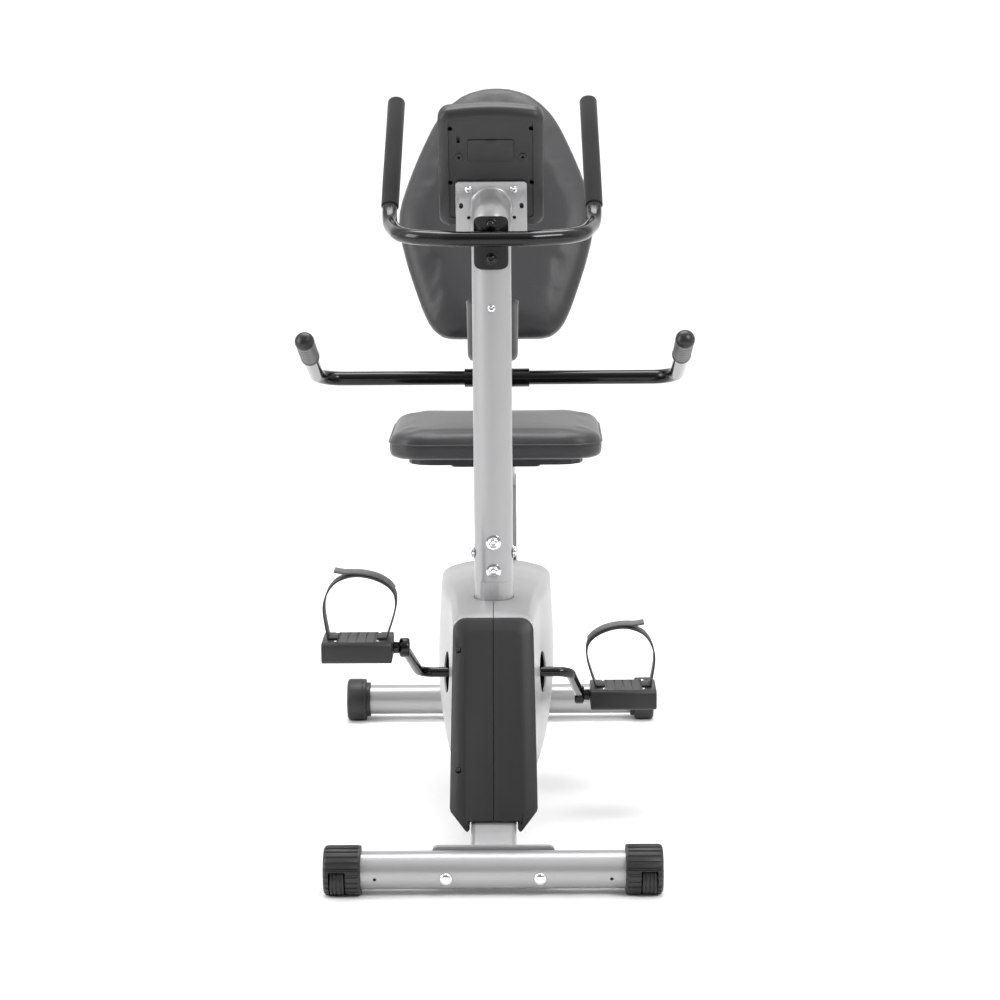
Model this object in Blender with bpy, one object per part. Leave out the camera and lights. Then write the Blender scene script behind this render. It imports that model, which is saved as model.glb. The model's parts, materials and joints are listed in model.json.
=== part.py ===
"""Recumbent exercise bike, modelled in metres.

+Z is up and the rider faces -Y, so the rider's left is +X. The origin is on the floor, halfway
between the front of the front end caps and the back of the rear end caps.
"""

import math

import bmesh
import bpy
from mathutils import Matrix, Vector

# Fits between pieces
GAP = 0.0003
RUNNING_GAP = 0.001
LEFT_RIGHT = ((1, "left"), (-1, "right"))

# Overall
WHEELBASE = 1.156
FOOT_FLAT = 0.020

# Front stabiliser
FRONT_TUBE_D = 0.057
FRONT_TUBE_SPAN = 0.394
FRONT_CAP_D = 0.075
FRONT_CAP_LENGTH = 0.056
FRONT_SOCKET_DEPTH = 0.014
STABILISER_WALL = 0.002
WHEEL_D = 0.048
WHEEL_WIDTH = 0.022
WHEEL_FORWARD = 0.0125
WHEEL_DROP = 0.0095
WHEEL_PIN_D = 0.006
WHEEL_PIN_LENGTH = 0.034
SADDLE_BOLT_SPACING = 0.140
SADDLE_BOLT_D = 0.008
SADDLE_TILT = math.radians(14.5)
SADDLE_WIDTH = 0.184
SADDLE_HEIGHT = 0.046
SADDLE_THICKNESS = 0.005

# Rear stabiliser
REAR_TUBE_D = 0.055
REAR_TUBE_SPAN = 0.486
REAR_CAP_D = 0.078
REAR_CAP_LENGTH = 0.036
REAR_COLLAR_D = 0.064
REAR_COLLAR_LENGTH = 0.0075
REAR_SOCKET_DEPTH = 0.026

# Crank axis, from the front stabiliser's axis
CRANK_BACK = 0.350
CRANK_HEIGHT = 0.262
CRANK_ARM = 0.165
CRANK_TILT = math.radians(25.5)
CRANK_ROD_D = 0.016
CRANK_ARM_INSIDE = 0.120
CRANK_EYE_SIDE = 0.137
CRANK_EYE_D = 0.030
CRANK_EYE_WIDTH = 0.016
SHELL_D = 0.052
SHELL_WIDTH = 0.074
SHELL_WALL = 0.004
CUP_FLANGE = 0.005

# Drive
CRANK_PULLEY_D = 0.200
SMALL_PULLEY_D = 0.036
PULLEY_WIDTH = 0.013
PULLEY_SIDE = 0.056
BELT_WIDTH = 0.010
BELT_THICKNESS = 0.003
FLYWHEEL_BACK = 0.560
FLYWHEEL_HEIGHT = 0.186
FLYWHEEL_D = 0.180
FLYWHEEL_WIDTH = 0.036
AXLE_D = 0.012
FORK_THICKNESS = 0.005
IDLER_D = 0.030
IDLER_BACK = 0.465
MAGNET_ARC = math.radians(80.0)
MAGNET_START = math.radians(20.0)
MAGNET_GAP = 0.004
MAGNET_THICKNESS = 0.009
MAGNET_HALF_WIDTH = 0.020
MAGNET_PIN_D = 0.006

# Frame
FOOT_TUBE_WIDTH = 0.069
FOOT_TUBE_DEPTH = 0.030
FOOT_TUBE_CORNER = 0.007
FOOT_KNEE_BACK = 0.115
FOOT_KNEE_HEIGHT = 0.078
RAIL_WIDTH = 0.060
RAIL_DEPTH = 0.050
RAIL_WALL = 0.003
RAIL_ANGLE = math.radians(17.0)
RAIL_SPLIT = 0.300
RAIL_END = 0.800
RAIL_INSERT = 0.060
LEG_WIDTH = 0.050
LEG_DEPTH = 0.040
SLEEVE_LENGTH = 0.170
SLEEVE_WALL = 0.003
SEAT_TRAVEL = 0.180
ADJUSTER_D = 0.010
CHEEK_THICKNESS = 0.005

# Mast
MAST_D = 0.061
MAST_WALL = 0.002
MAST_LEAN = math.radians(2.5)
MAST_BACK = 0.320
MAST_REFERENCE_HEIGHT = 0.384
MAST_JOINT_HEIGHT = 0.419
STUB_BOTTOM_HEIGHT = 0.300
STUB_INSERT = 0.110
MAST_TOP_HEIGHT = 1.003
MAST_BEND_RADIUS = 0.055
MAST_TOP_REACH = 0.010
PLATE_WIDTH = 0.111
PLATE_HEIGHT = 0.104
PLATE_THICKNESS = 0.003
PLATE_DROP = 0.011

# Console
CONSOLE_TILT = math.radians(22.0)
CONSOLE_WIDTH = 0.163
CONSOLE_HEIGHT = 0.200
CONSOLE_RISE = 0.062
CONSOLE_BACK_DEPTH = 0.020
CONSOLE_FRONT_DEPTH = 0.014
CONSOLE_WALL = 0.0025
CONSOLE_CORNER = 0.016
SCREEN_WIDTH = 0.098
SCREEN_HEIGHT = 0.070
SCREEN_THICKNESS = 0.002
BUTTON_D = 0.018
BUTTON_TRAVEL = 0.0015
BUTTON_SPACING = 0.036
DOOR_WIDTH = 0.071
DOOR_HEIGHT = 0.036
DOOR_THICKNESS = 0.002

# Front handlebar
BAR_D = 0.0235
BAR_WALL = 0.002
BAR_BACK = 0.245
BAR_HEIGHT = 0.9585
BRACKET_WIDTH = 0.053
BRACKET_HEIGHT = 0.082
BRACKET_THICKNESS = 0.004
BAR_GRIP_D = BAR_D + 0.0045
BAR_REACH = 0.163
BAR_TOP_REACH = 0.155
BAR_TOP_BACK = 0.552
BAR_TOP_HEIGHT = 1.158
BAR_GRIP_LENGTH = 0.212

# Bottle holder
HOLDER_D = 0.083
HOLDER_WALL = 0.003
HOLDER_TOP_HEIGHT = 0.853
HOLDER_HEIGHT = 0.095

# Shroud
SHROUD_HALF_WIDTH = 0.0965
SHROUD_WALL = 0.0025
SHROUD_TOP_HEIGHT = 0.403
SHROUD_BOTTOM_HEIGHT = 0.067
SHROUD_SHOULDER_HEIGHT = 0.384
SHROUD_FRONT_LOW_BACK = 0.087
SHROUD_FRONT_HIGH_BACK = 0.198
SHROUD_REAR_BACK = 0.705
CRANK_HOLE_D = 0.066
PANEL_HALF_TOP = 0.062
PANEL_HALF_BOTTOM = 0.067
PANEL_FLAT = 0.037
PANEL_PROUD = 0.008
PANEL_LOW_HEIGHT = 0.072
PANEL_CORNER_HEIGHT = 0.100
PANEL_HIGH_HEIGHT = 0.380

# Seat
SEAT_WIDTH = 0.358
SEAT_DEPTH = 0.315
SEAT_FRONT_BACK = 0.622
SEAT_BOTTOM_HEIGHT = 0.564
SEAT_THICKNESS = 0.047
SEAT_BOARD_THICKNESS = 0.012
SEAT_BOARD_INSET = 0.032
SEAT_TUBE_D = 0.038
SEAT_TUBE_WALL = 0.002
SEAT_PLATE_THICKNESS = 0.004
SEAT_PLATE_WIDTH = 0.150
SEAT_PLATE_DEPTH = 0.200

# Backrest
BACK_WIDTH = 0.352
BACK_LENGTH = 0.470
BACK_THICKNESS = 0.050
BACK_ANGLE = math.radians(22.5)
BACK_BOTTOM_BACK = 0.920
BACK_BOTTOM_HEIGHT = 0.748

# Seat handlebar
SEAT_BAR_D = 0.0254
SEAT_BAR_HEIGHT = 0.665
SEAT_BAR_REACH = 0.318
SEAT_GRIP_D = 0.033
SEAT_GRIP_LENGTH = 0.130
SEAT_GRIP_TIP_BACK = 0.650
SEAT_GRIP_TIP_HEIGHT = 0.763
BAR_SLEEVE_D = 0.033
BAR_SLEEVE_WIDTH = 0.115

# Pedals
PEDAL_WIDTH = 0.108
PEDAL_DEPTH = 0.094
PEDAL_THICKNESS = 0.033
PEDAL_SIDE = 0.209
SPINDLE_D = 0.014
STRAP_WIDTH = 0.040
STRAP_THICKNESS = 0.0028
STRAP_HEIGHT = 0.100
STRAP_FOOT = 0.045
STRAP_TURN_IN = 0.015

# Places that follow from the sizes above
FRONT_AXIS_HEIGHT = math.sqrt((FRONT_CAP_D / 2) ** 2 - (FOOT_FLAT / 2) ** 2)
REAR_AXIS_HEIGHT = math.sqrt((REAR_CAP_D / 2) ** 2 - (FOOT_FLAT / 2) ** 2)
FRONT_Y = -(WHEELBASE + REAR_CAP_D / 2 - FRONT_CAP_D / 2) / 2
REAR_Y = FRONT_Y + WHEELBASE
FRONT_AXIS = Vector((0, FRONT_Y, FRONT_AXIS_HEIGHT))
REAR_AXIS = Vector((0, REAR_Y, REAR_AXIS_HEIGHT))
CRANK_AXIS = Vector((0, FRONT_Y + CRANK_BACK, CRANK_HEIGHT))
FLYWHEEL_AXIS = Vector((0, FRONT_Y + FLYWHEEL_BACK, FLYWHEEL_HEIGHT))
ACROSS = Vector((1, 0, 0))
RAIL_ALONG = Vector((0, math.cos(RAIL_ANGLE), math.sin(RAIL_ANGLE)))
RAIL_UP = Vector((0, -math.sin(RAIL_ANGLE), math.cos(RAIL_ANGLE)))
BACK_UP = Vector((0, math.sin(BACK_ANGLE), math.cos(BACK_ANGLE)))
BACK_OUT = Vector((0, math.cos(BACK_ANGLE), -math.sin(BACK_ANGLE)))
MAST_UP = Vector((0, -math.sin(MAST_LEAN), math.cos(MAST_LEAN)))
CONSOLE_UP = Vector((0, -math.sin(CONSOLE_TILT), math.cos(CONSOLE_TILT)))
CONSOLE_OUT = Vector((0, math.cos(CONSOLE_TILT), math.sin(CONSOLE_TILT)))


# ---------------------------------------------------------------- finishes


def finish(name, rgb, roughness, metallic=0.0):
    """Return the named material, made once."""
    material = bpy.data.materials.get(name)
    if material is None:
        material = bpy.data.materials.new(name)
        material.use_nodes = True
        shader = material.node_tree.nodes["Principled BSDF"]
        shader.inputs["Base Color"].default_value = (*rgb, 1.0)
        shader.inputs["Roughness"].default_value = roughness
        shader.inputs["Metallic"].default_value = metallic
        material.diffuse_color = (*rgb, 1.0)
    return material


def silver_paint():
    return finish("silver_paint", (0.58, 0.59, 0.60), 0.35, 0.4)


def black_paint():
    return finish("black_paint", (0.012, 0.012, 0.013), 0.25)


def black_plastic():
    return finish("black_plastic", (0.025, 0.025, 0.026), 0.5)


def silver_plastic():
    return finish("silver_plastic", (0.50, 0.51, 0.52), 0.4, 0.2)


def black_foam():
    return finish("black_foam", (0.03, 0.03, 0.03), 0.85)


def chrome():
    return finish("chrome", (0.75, 0.75, 0.76), 0.1, 1.0)


def zinc():
    return finish("zinc_steel", (0.5, 0.5, 0.52), 0.3, 1.0)


def cast_iron():
    return finish("cast_iron", (0.2, 0.2, 0.21), 0.5, 1.0)


def vinyl():
    return finish("charcoal_vinyl", (0.05, 0.05, 0.052), 0.5)


def belt_rubber():
    return finish("belt_rubber", (0.02, 0.02, 0.02), 0.8)


def screen_glass():
    return finish("screen_glass", (0.18, 0.21, 0.18), 0.15)


# ---------------------------------------------------------------- shape tools


def add_object(name, bm, material, smooth=True, pivot=None):
    """Turn a bmesh in world places into an object whose origin is at pivot."""
    bmesh.ops.remove_doubles(bm, verts=bm.verts, dist=1e-6)
    bmesh.ops.recalc_face_normals(bm, faces=bm.faces)
    if pivot is not None:
        bmesh.ops.translate(bm, verts=bm.verts, vec=-Vector(pivot))
    mesh = bpy.data.meshes.new(name)
    bm.to_mesh(mesh)
    bm.free()
    if smooth:
        mesh.shade_smooth()
        mesh.set_sharp_from_angle(angle=math.radians(35))
    obj = bpy.data.objects.new(name, mesh)
    if pivot is not None:
        obj.location = pivot
    mesh.materials.append(material)
    bpy.context.scene.collection.objects.link(obj)
    return obj


def guide(name, bm):
    """A closed shape that only cuts or joins another one."""
    obj = add_object(name, bm, black_plastic(), smooth=False)
    obj.hide_render = True
    obj.display_type = "WIRE"
    return obj


def boolean(target, other, operation):
    modifier = target.modifiers.new(operation.lower(), "BOOLEAN")
    modifier.operation = operation
    modifier.solver = "EXACT"
    modifier.object = other


def cut(target, bm):
    boolean(target, guide(target.name + "_cutter", bm), "DIFFERENCE")


def weld(target, bm):
    boolean(target, guide(target.name + "_joined", bm), "UNION")


def bridge(bm, ring_a, ring_b):
    """Join two rings of the same count with quads, or with triangles where one ring is a point."""
    count = max(len(ring_a), len(ring_b))
    for i in range(count):
        corners = []
        for vert in (ring_a[i % len(ring_a)], ring_a[(i + 1) % len(ring_a)],
                     ring_b[(i + 1) % len(ring_b)], ring_b[i % len(ring_b)]):
            if vert not in corners:
                corners.append(vert)
        bm.faces.new(corners)


def loft(rings, closed_loop=False):
    """Skin through rings of points, with flat ends, or joined end to start."""
    bm = bmesh.new()
    loops = [[bm.verts.new(point) for point in ring] for ring in rings]
    for ring_a, ring_b in zip(loops, loops[1:]):
        bridge(bm, ring_a, ring_b)
    if closed_loop:
        bridge(bm, loops[-1], loops[0])
    else:
        for ring in (loops[0], loops[-1]):
            if len(ring) > 2:
                bm.faces.new(ring)
    return bm


def turned(origin, axis, profile, steps=24):
    """Turn a profile of (along, radius) points about an axis. A profile that starts and ends on
    the axis gives a solid; otherwise its last point joins its first."""
    axis = Vector(axis).normalized()
    side = axis.orthogonal().normalized()
    if abs(axis.x) > 0.99:
        side = Vector((0, 0, 1))
    other = axis.cross(side)
    rings = []
    for along, radius in profile:
        centre = Vector(origin) + axis * along
        count = steps if radius > 0 else 1
        rings.append([
            centre + radius * (math.cos(2 * math.pi * i / steps) * side
                               + math.sin(2 * math.pi * i / steps) * other)
            for i in range(count)
        ])
    return loft(rings, closed_loop=profile[0][1] > 0)


def rod(start, end, radius, steps=24, bore=0.0):
    """A round bar between two points, or a tube where bore is its inner radius."""
    length = (Vector(end) - Vector(start)).length
    profile = [(0, bore), (0, radius), (length, radius), (length, bore)]
    return turned(start, Vector(end) - Vector(start), profile, steps)


def circle_section(radius, steps=16):
    return [(radius * math.cos(2 * math.pi * i / steps), radius * math.sin(2 * math.pi * i / steps))
            for i in range(steps)]


def rounded_section(width, height, radius, steps=2):
    """Corners of a rounded rectangle, centred, in order around it."""
    points = []
    for turn, (sx, sy) in enumerate(((1, 1), (-1, 1), (-1, -1), (1, -1))):
        centre = (sx * (width / 2 - radius), sy * (height / 2 - radius))
        for step in range(steps + 1):
            angle = math.pi / 2 * (turn + step / steps)
            points.append((centre[0] + radius * math.cos(angle), centre[1] + radius * math.sin(angle)))
    return points


def bent_path(corners, radius, steps=5):
    """A polyline whose inner corners are rounded to a radius."""
    corners = [Vector(corner) for corner in corners]
    path = [corners[0]]
    for before, corner, after in zip(corners, corners[1:], corners[2:]):
        back = (before - corner).normalized()
        on = (after - corner).normalized()
        half = back.angle(on) / 2
        reach = min(radius / math.tan(half), 0.45 * min((before - corner).length, (after - corner).length))
        bend = reach * math.tan(half)
        middle = corner + (back + on).normalized() * bend / math.sin(half)
        start = corner + back * reach - middle
        end = corner + on * reach - middle
        total = start.angle(end)
        for step in range(steps + 1):
            share = step / steps
            arc = (start * math.sin((1 - share) * total) + end * math.sin(share * total)) / math.sin(total)
            path.append(middle + arc)
    path.append(corners[-1])
    return path


def section_rings(path, section, side):
    """Place a flat section at each point of a path, mitred at its bends, without twist."""
    rings = []
    side = Vector(side)
    for index, point in enumerate(path):
        before = (path[index] - path[index - 1]).normalized() if index > 0 else None
        after = (path[index + 1] - path[index]).normalized() if index < len(path) - 1 else None
        tangent = ((before or after) + (after or before)).normalized()
        straight = before or after
        side = (side - straight * side.dot(straight)).normalized()
        other = straight.cross(side)
        ring = []
        for u, v in section:
            offset = side * u + other * v
            slide = offset.dot(tangent) / straight.dot(tangent)
            ring.append(point + offset - straight * slide)
        rings.append(ring)
    return rings


def swept(path, section, side=ACROSS, hollow=None):
    """Sweep a section along a path; hollow is the inner section of an open-ended tube."""
    outer = section_rings(path, section, side)
    if hollow is None:
        return loft(outer)
    return loft(outer + section_rings(path, hollow, side)[::-1], closed_loop=True)


def prism(outline, start, end):
    """Extrude an outline of (y, z) points along X."""
    return loft([[Vector((x, y, z)) for y, z in outline] for x in (start, end)])


def slab(centre, size, axes=(Vector((1, 0, 0)), Vector((0, 1, 0)), Vector((0, 0, 1)))):
    """A box with the given centre, size and axes."""
    bm = bmesh.new()
    bmesh.ops.create_cube(bm, size=1.0)
    turn = Matrix((axes[0], axes[1], axes[2])).transposed().to_4x4()
    scale = Matrix.Diagonal((*size, 1.0))
    bmesh.ops.transform(bm, verts=bm.verts, matrix=Matrix.Translation(centre) @ turn @ scale)
    return bm


def plate(centre, section, thickness, axes):
    """A flat plate of a given outline; axes are across, up and out of its face."""
    across, up, out = axes
    rings = [[centre + across * u + up * v + out * depth for u, v in section]
             for depth in (-thickness / 2, thickness / 2)]
    return loft(rings)


# ---------------------------------------------------------------- stabilisers


def build_front_stabiliser():
    tube_end = FRONT_TUBE_SPAN / 2 + FRONT_SOCKET_DEPTH
    radius = FRONT_TUBE_D / 2
    tube = add_object(
        "front_stabiliser",
        rod(FRONT_AXIS - ACROSS * tube_end, FRONT_AXIS + ACROSS * tube_end, radius, 20,
            radius - STABILISER_WALL),
        silver_paint(),
    )
    bolt_way = Vector((0, math.cos(SADDLE_TILT), math.sin(SADDLE_TILT)))
    head = radius + 0.0035
    reach = radius + GAP + SADDLE_THICKNESS + 0.006
    for side, label in LEFT_RIGHT:
        place = FRONT_AXIS + ACROSS * side * SADDLE_BOLT_SPACING / 2
        bore = SADDLE_BOLT_D / 2 + GAP
        cut(tube, rod(place - bolt_way * head * 2, place + bolt_way * head * 2, bore, 12))
        add_object(
            "saddle_bolt_" + label,
            turned(place - bolt_way * head, bolt_way, [
                (-0.0020, 0), (-0.0015, 0.005), (0.0005, 0.009), (head - radius - GAP * 4, 0.0105),
                (head - radius - GAP * 3, SADDLE_BOLT_D / 2), (head + reach, SADDLE_BOLT_D / 2),
                (head + reach, 0),
            ], 16),
            chrome(),
        )
    for side, label in LEFT_RIGHT:
        build_front_cap(side, label)


def build_front_cap(side, label):
    """Round end cap with a flat foot, a socket for the tube and a slot for the transport wheel."""
    inner = FRONT_TUBE_SPAN / 2
    outer = inner + FRONT_CAP_LENGTH
    radius = FRONT_CAP_D / 2
    soft = 0.004
    socket = FRONT_TUBE_D / 2 + GAP
    depth = FRONT_SOCKET_DEPTH + GAP
    out = ACROSS * side
    cap = add_object(
        "front_cap_" + label,
        turned(FRONT_AXIS + out * inner, out, [
            (depth, 0), (depth, socket), (0, socket), (0, radius - soft), (soft, radius),
            (FRONT_CAP_LENGTH - soft, radius), (FRONT_CAP_LENGTH, radius - soft), (FRONT_CAP_LENGTH, 0),
        ], 24),
        black_plastic(),
    )
    cut(cap, slab(Vector((side * (inner + outer) / 2, FRONT_Y, -FRONT_CAP_D / 2)),
                  (FRONT_CAP_LENGTH * 2, FRONT_CAP_D * 2, FRONT_CAP_D)))
    axle = FRONT_AXIS + Vector((0, -WHEEL_FORWARD, -WHEEL_DROP))
    middle = (inner + FRONT_SOCKET_DEPTH + outer) / 2
    slot_half = WHEEL_WIDTH / 2 + RUNNING_GAP * 1.5
    slot_radius = WHEEL_D / 2 + RUNNING_GAP * 2
    cut(cap, rod(axle + out * (middle - slot_half), axle + out * (middle + slot_half), slot_radius, 18))
    pin_half = WHEEL_PIN_LENGTH / 2
    pin_bore = WHEEL_PIN_D / 2 + GAP
    cut(cap, rod(axle + out * (middle - pin_half - GAP), axle + out * (middle + pin_half + GAP),
                 pin_bore, 12))
    add_object(
        "wheel_axle_" + label,
        rod(axle + out * (middle - pin_half), axle + out * (middle + pin_half), WHEEL_PIN_D / 2, 12),
        zinc(),
    )
    hub = WHEEL_PIN_D / 2 + GAP
    half = WHEEL_WIDTH / 2
    tread = WHEEL_D / 2
    add_object(
        "transport_wheel_" + label,
        turned(axle + out * middle, out, [
            (-half, hub), (-half, tread - 0.002), (-half + 0.003, tread),
            (half - 0.003, tread), (half, tread - 0.002), (half, hub),
        ], 20),
        black_plastic(),
        pivot=axle + out * middle,
    )


def build_rear_stabiliser():
    tube_end = REAR_TUBE_SPAN / 2 + REAR_SOCKET_DEPTH
    radius = REAR_TUBE_D / 2
    add_object(
        "rear_stabiliser",
        rod(REAR_AXIS - ACROSS * tube_end, REAR_AXIS + ACROSS * tube_end, radius, 20,
            radius - STABILISER_WALL),
        silver_paint(),
    )
    socket = radius + GAP
    depth = REAR_SOCKET_DEPTH + GAP
    length = REAR_COLLAR_LENGTH + REAR_CAP_LENGTH
    soft = 0.005
    for side, label in LEFT_RIGHT:
        out = ACROSS * side
        inner = REAR_TUBE_SPAN / 2
        cap = add_object(
            "rear_cap_" + label,
            turned(REAR_AXIS + out * inner, out, [
                (depth, 0), (depth, socket), (0, socket), (0, REAR_COLLAR_D / 2),
                (REAR_COLLAR_LENGTH, REAR_COLLAR_D / 2), (REAR_COLLAR_LENGTH, REAR_CAP_D / 2),
                (length - soft, REAR_CAP_D / 2), (length, REAR_CAP_D / 2 - soft), (length, 0),
            ], 20),
            black_plastic(),
        )
        cut(cap, slab(Vector((side * (inner + length / 2), REAR_Y, -REAR_CAP_D / 2)),
                      (length * 2, REAR_CAP_D * 2, REAR_CAP_D)))


# ---------------------------------------------------------------- frame


def mast_point(height):
    """Point on the mast's axis at a height."""
    along = (height - MAST_REFERENCE_HEIGHT) / MAST_UP.z
    return Vector((0, FRONT_Y + MAST_BACK, MAST_REFERENCE_HEIGHT)) + MAST_UP * along


def rail_point(along):
    """Point on the seat rail's middle line, at a distance from the crank axis."""
    return CRANK_AXIS + RAIL_ALONG * along


def foot_line():
    """Middle line of the foot tube: from the saddle plate, over a knee, towards the crank axis."""
    way = Vector((0, math.cos(SADDLE_TILT), math.sin(SADDLE_TILT)))
    start = FRONT_AXIS + way * (FRONT_TUBE_D / 2 + GAP + SADDLE_THICKNESS * 0.8)
    knee = Vector((0, FRONT_Y + FOOT_KNEE_BACK, FOOT_KNEE_HEIGHT))
    return [start, knee, CRANK_AXIS - (CRANK_AXIS - knee).normalized() * 0.012]


def build_main_frame():
    """Weldment: saddle plate, foot tube, bottom bracket shell, front rail, mast stub and fork."""
    saddle_way = Vector((0, math.cos(SADDLE_TILT), math.sin(SADDLE_TILT)))
    saddle_up = Vector((0, -math.sin(SADDLE_TILT), math.cos(SADDLE_TILT)))
    saddle_middle = FRONT_AXIS + saddle_way * (FRONT_TUBE_D / 2 + GAP + SADDLE_THICKNESS / 2)
    foot_outer = rounded_section(FOOT_TUBE_WIDTH, FOOT_TUBE_DEPTH, FOOT_TUBE_CORNER)
    foot_inner = rounded_section(FOOT_TUBE_WIDTH - 2 * RAIL_WALL, FOOT_TUBE_DEPTH - 2 * RAIL_WALL,
                                 FOOT_TUBE_CORNER - RAIL_WALL)
    foot = swept(foot_line(), foot_outer, hollow=foot_inner)
    frame = add_object("main_frame", foot, silver_paint())

    saddle = plate(saddle_middle, rounded_section(SADDLE_WIDTH, SADDLE_HEIGHT, 0.008, 2),
                   SADDLE_THICKNESS, (ACROSS, saddle_up, saddle_way))
    weld(frame, saddle)
    rail_outer = rounded_section(RAIL_WIDTH, RAIL_DEPTH, 0.008, 2)
    rail_inner = rounded_section(RAIL_WIDTH - 2 * RAIL_WALL, RAIL_DEPTH - 2 * RAIL_WALL, 0.005, 2)
    weld(frame, swept([rail_point(0.012), rail_point(RAIL_SPLIT)], rail_outer, hollow=rail_inner))

    stub_foot = mast_point(STUB_BOTTOM_HEIGHT)
    stub_top = mast_point(MAST_JOINT_HEIGHT)
    insert_radius = MAST_D / 2 - MAST_WALL - GAP
    stub_length = (stub_top - stub_foot).length
    weld(frame, turned(stub_foot, MAST_UP, [
        (0, insert_radius - 0.003), (0, MAST_D / 2), (stub_length, MAST_D / 2),
        (stub_length, insert_radius), (stub_length + STUB_INSERT, insert_radius),
        (stub_length + STUB_INSERT, insert_radius - 0.003),
    ], 24))
    gusset = [
        (CRANK_AXIS.y - 0.030, CRANK_AXIS.z + 0.005), (CRANK_AXIS.y + 0.075, CRANK_AXIS.z + 0.030),
        (stub_foot.y + 0.020, stub_foot.z + 0.045), (stub_foot.y - 0.022, stub_foot.z + 0.030),
    ]
    weld(frame, prism(gusset, -RAIL_WIDTH / 2 + 0.004, RAIL_WIDTH / 2 - 0.004))

    fork_top = rail_point((FLYWHEEL_AXIS - CRANK_AXIS).dot(RAIL_ALONG))
    hinge = magnet_hinge()
    fork_rear = rail_point((hinge - CRANK_AXIS).dot(RAIL_ALONG))
    inner = RAIL_WIDTH / 2 - 0.0008
    for side, _ in LEFT_RIGHT:
        outline = [
            (fork_top.y - 0.045, fork_top.z - 0.020), (FLYWHEEL_AXIS.y - 0.018, FLYWHEEL_AXIS.z - 0.006),
            (FLYWHEEL_AXIS.y - 0.010, FLYWHEEL_AXIS.z - 0.020),
            (FLYWHEEL_AXIS.y + 0.010, FLYWHEEL_AXIS.z - 0.020),
            (FLYWHEEL_AXIS.y + 0.018, FLYWHEEL_AXIS.z - 0.006), (hinge.y + 0.002, hinge.z - 0.014),
            (hinge.y + 0.013, hinge.z - 0.004), (hinge.y + 0.010, hinge.z + 0.010),
            (fork_rear.y + 0.010, fork_rear.z - 0.010),
        ]
        weld(frame, prism(outline, side * inner, side * (inner + FORK_THICKNESS)))
    for axis, bore in ((FLYWHEEL_AXIS, AXLE_D / 2 + GAP), (hinge, MAGNET_PIN_D / 2 + GAP)):
        cut(frame, rod(axis - ACROSS * 0.1, axis + ACROSS * 0.1, bore, 14))
    for side, _ in LEFT_RIGHT:
        place = FRONT_AXIS + ACROSS * side * SADDLE_BOLT_SPACING / 2
        cut(frame, rod(place, place + saddle_way * 0.06, SADDLE_BOLT_D / 2 + GAP, 12))
    shell_half = ACROSS * SHELL_WIDTH / 2
    bore = SHELL_D / 2 - SHELL_WALL
    weld(frame, rod(CRANK_AXIS - shell_half, CRANK_AXIS + shell_half, SHELL_D / 2, 20))
    cut(frame, rod(CRANK_AXIS - shell_half * 2, CRANK_AXIS + shell_half * 2, bore, 20))
    for side, label in LEFT_RIGHT:
        out = ACROSS * side
        depth = 0.012
        rod_bore = CRANK_ROD_D / 2 + GAP
        add_object(
            "bearing_cup_" + label,
            turned(CRANK_AXIS + out * (SHELL_WIDTH / 2 + GAP), out, [
                (-depth, rod_bore), (-depth, bore - GAP), (0, bore - GAP), (0, SHELL_D / 2),
                (CUP_FLANGE, SHELL_D / 2 - 0.002), (CUP_FLANGE, rod_bore),
            ], 20),
            zinc(),
        )


def build_rear_frame():
    """Weldment: the seat rail's rear length, its insert, the rear leg and the rear saddle."""
    outer = rounded_section(RAIL_WIDTH, RAIL_DEPTH, 0.008, 2)
    inner = rounded_section(RAIL_WIDTH - 2 * RAIL_WALL, RAIL_DEPTH - 2 * RAIL_WALL, 0.005, 2)
    frame = add_object(
        "rear_frame",
        swept([rail_point(RAIL_SPLIT + GAP), rail_point(RAIL_END)], outer, hollow=inner),
        silver_paint(),
    )
    insert = RAIL_WALL + GAP
    insert_outer = rounded_section(RAIL_WIDTH - 2 * insert, RAIL_DEPTH - 2 * insert, 0.005, 2)
    insert_inner = rounded_section(RAIL_WIDTH - 4 * insert, RAIL_DEPTH - 4 * insert, 0.003, 2)
    overlap = 0.010
    weld(frame, swept([rail_point(RAIL_SPLIT - RAIL_INSERT), rail_point(RAIL_SPLIT + overlap)],
                      insert_outer, hollow=insert_inner))
    ring_outer = rounded_section(RAIL_WIDTH - RAIL_WALL, RAIL_DEPTH - RAIL_WALL, 0.006, 2)
    weld(frame, swept([rail_point(RAIL_SPLIT + 0.002), rail_point(RAIL_SPLIT + 0.008)],
                      ring_outer, hollow=insert_inner))
    leg_top = rail_point(RAIL_END - LEG_DEPTH)
    saddle_front = REAR_Y - REAR_TUBE_D / 2 - GAP
    leg_foot = Vector((0, saddle_front - SADDLE_THICKNESS / 2, REAR_AXIS_HEIGHT + 0.004))
    leg_outer = rounded_section(LEG_WIDTH, LEG_DEPTH, 0.008, 2)
    leg_bend = Vector((0, leg_foot.y - 0.045, leg_foot.z + 0.020))
    weld(frame, swept(bent_path([leg_top, leg_bend, leg_foot], 0.06, 3), leg_outer,
                      hollow=rounded_section(LEG_WIDTH - 0.006, LEG_DEPTH - 0.006, 0.005, 2)))
    across_up_out = (ACROSS, Vector((0, 0, 1)), Vector((0, 1, 0)))
    saddle_middle = Vector((0, saddle_front - SADDLE_THICKNESS / 2, REAR_AXIS_HEIGHT))
    weld(frame, plate(saddle_middle, rounded_section(SADDLE_WIDTH, SADDLE_HEIGHT, 0.008, 2),
                      SADDLE_THICKNESS, across_up_out))
    cut(frame, pin_slot())


def seat_along():
    """Distance along the rail of the middle of the seat carriage."""
    middle = CRANK_BACK - SEAT_FRONT_BACK - SEAT_DEPTH / 2
    return -middle / RAIL_ALONG.y


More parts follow.
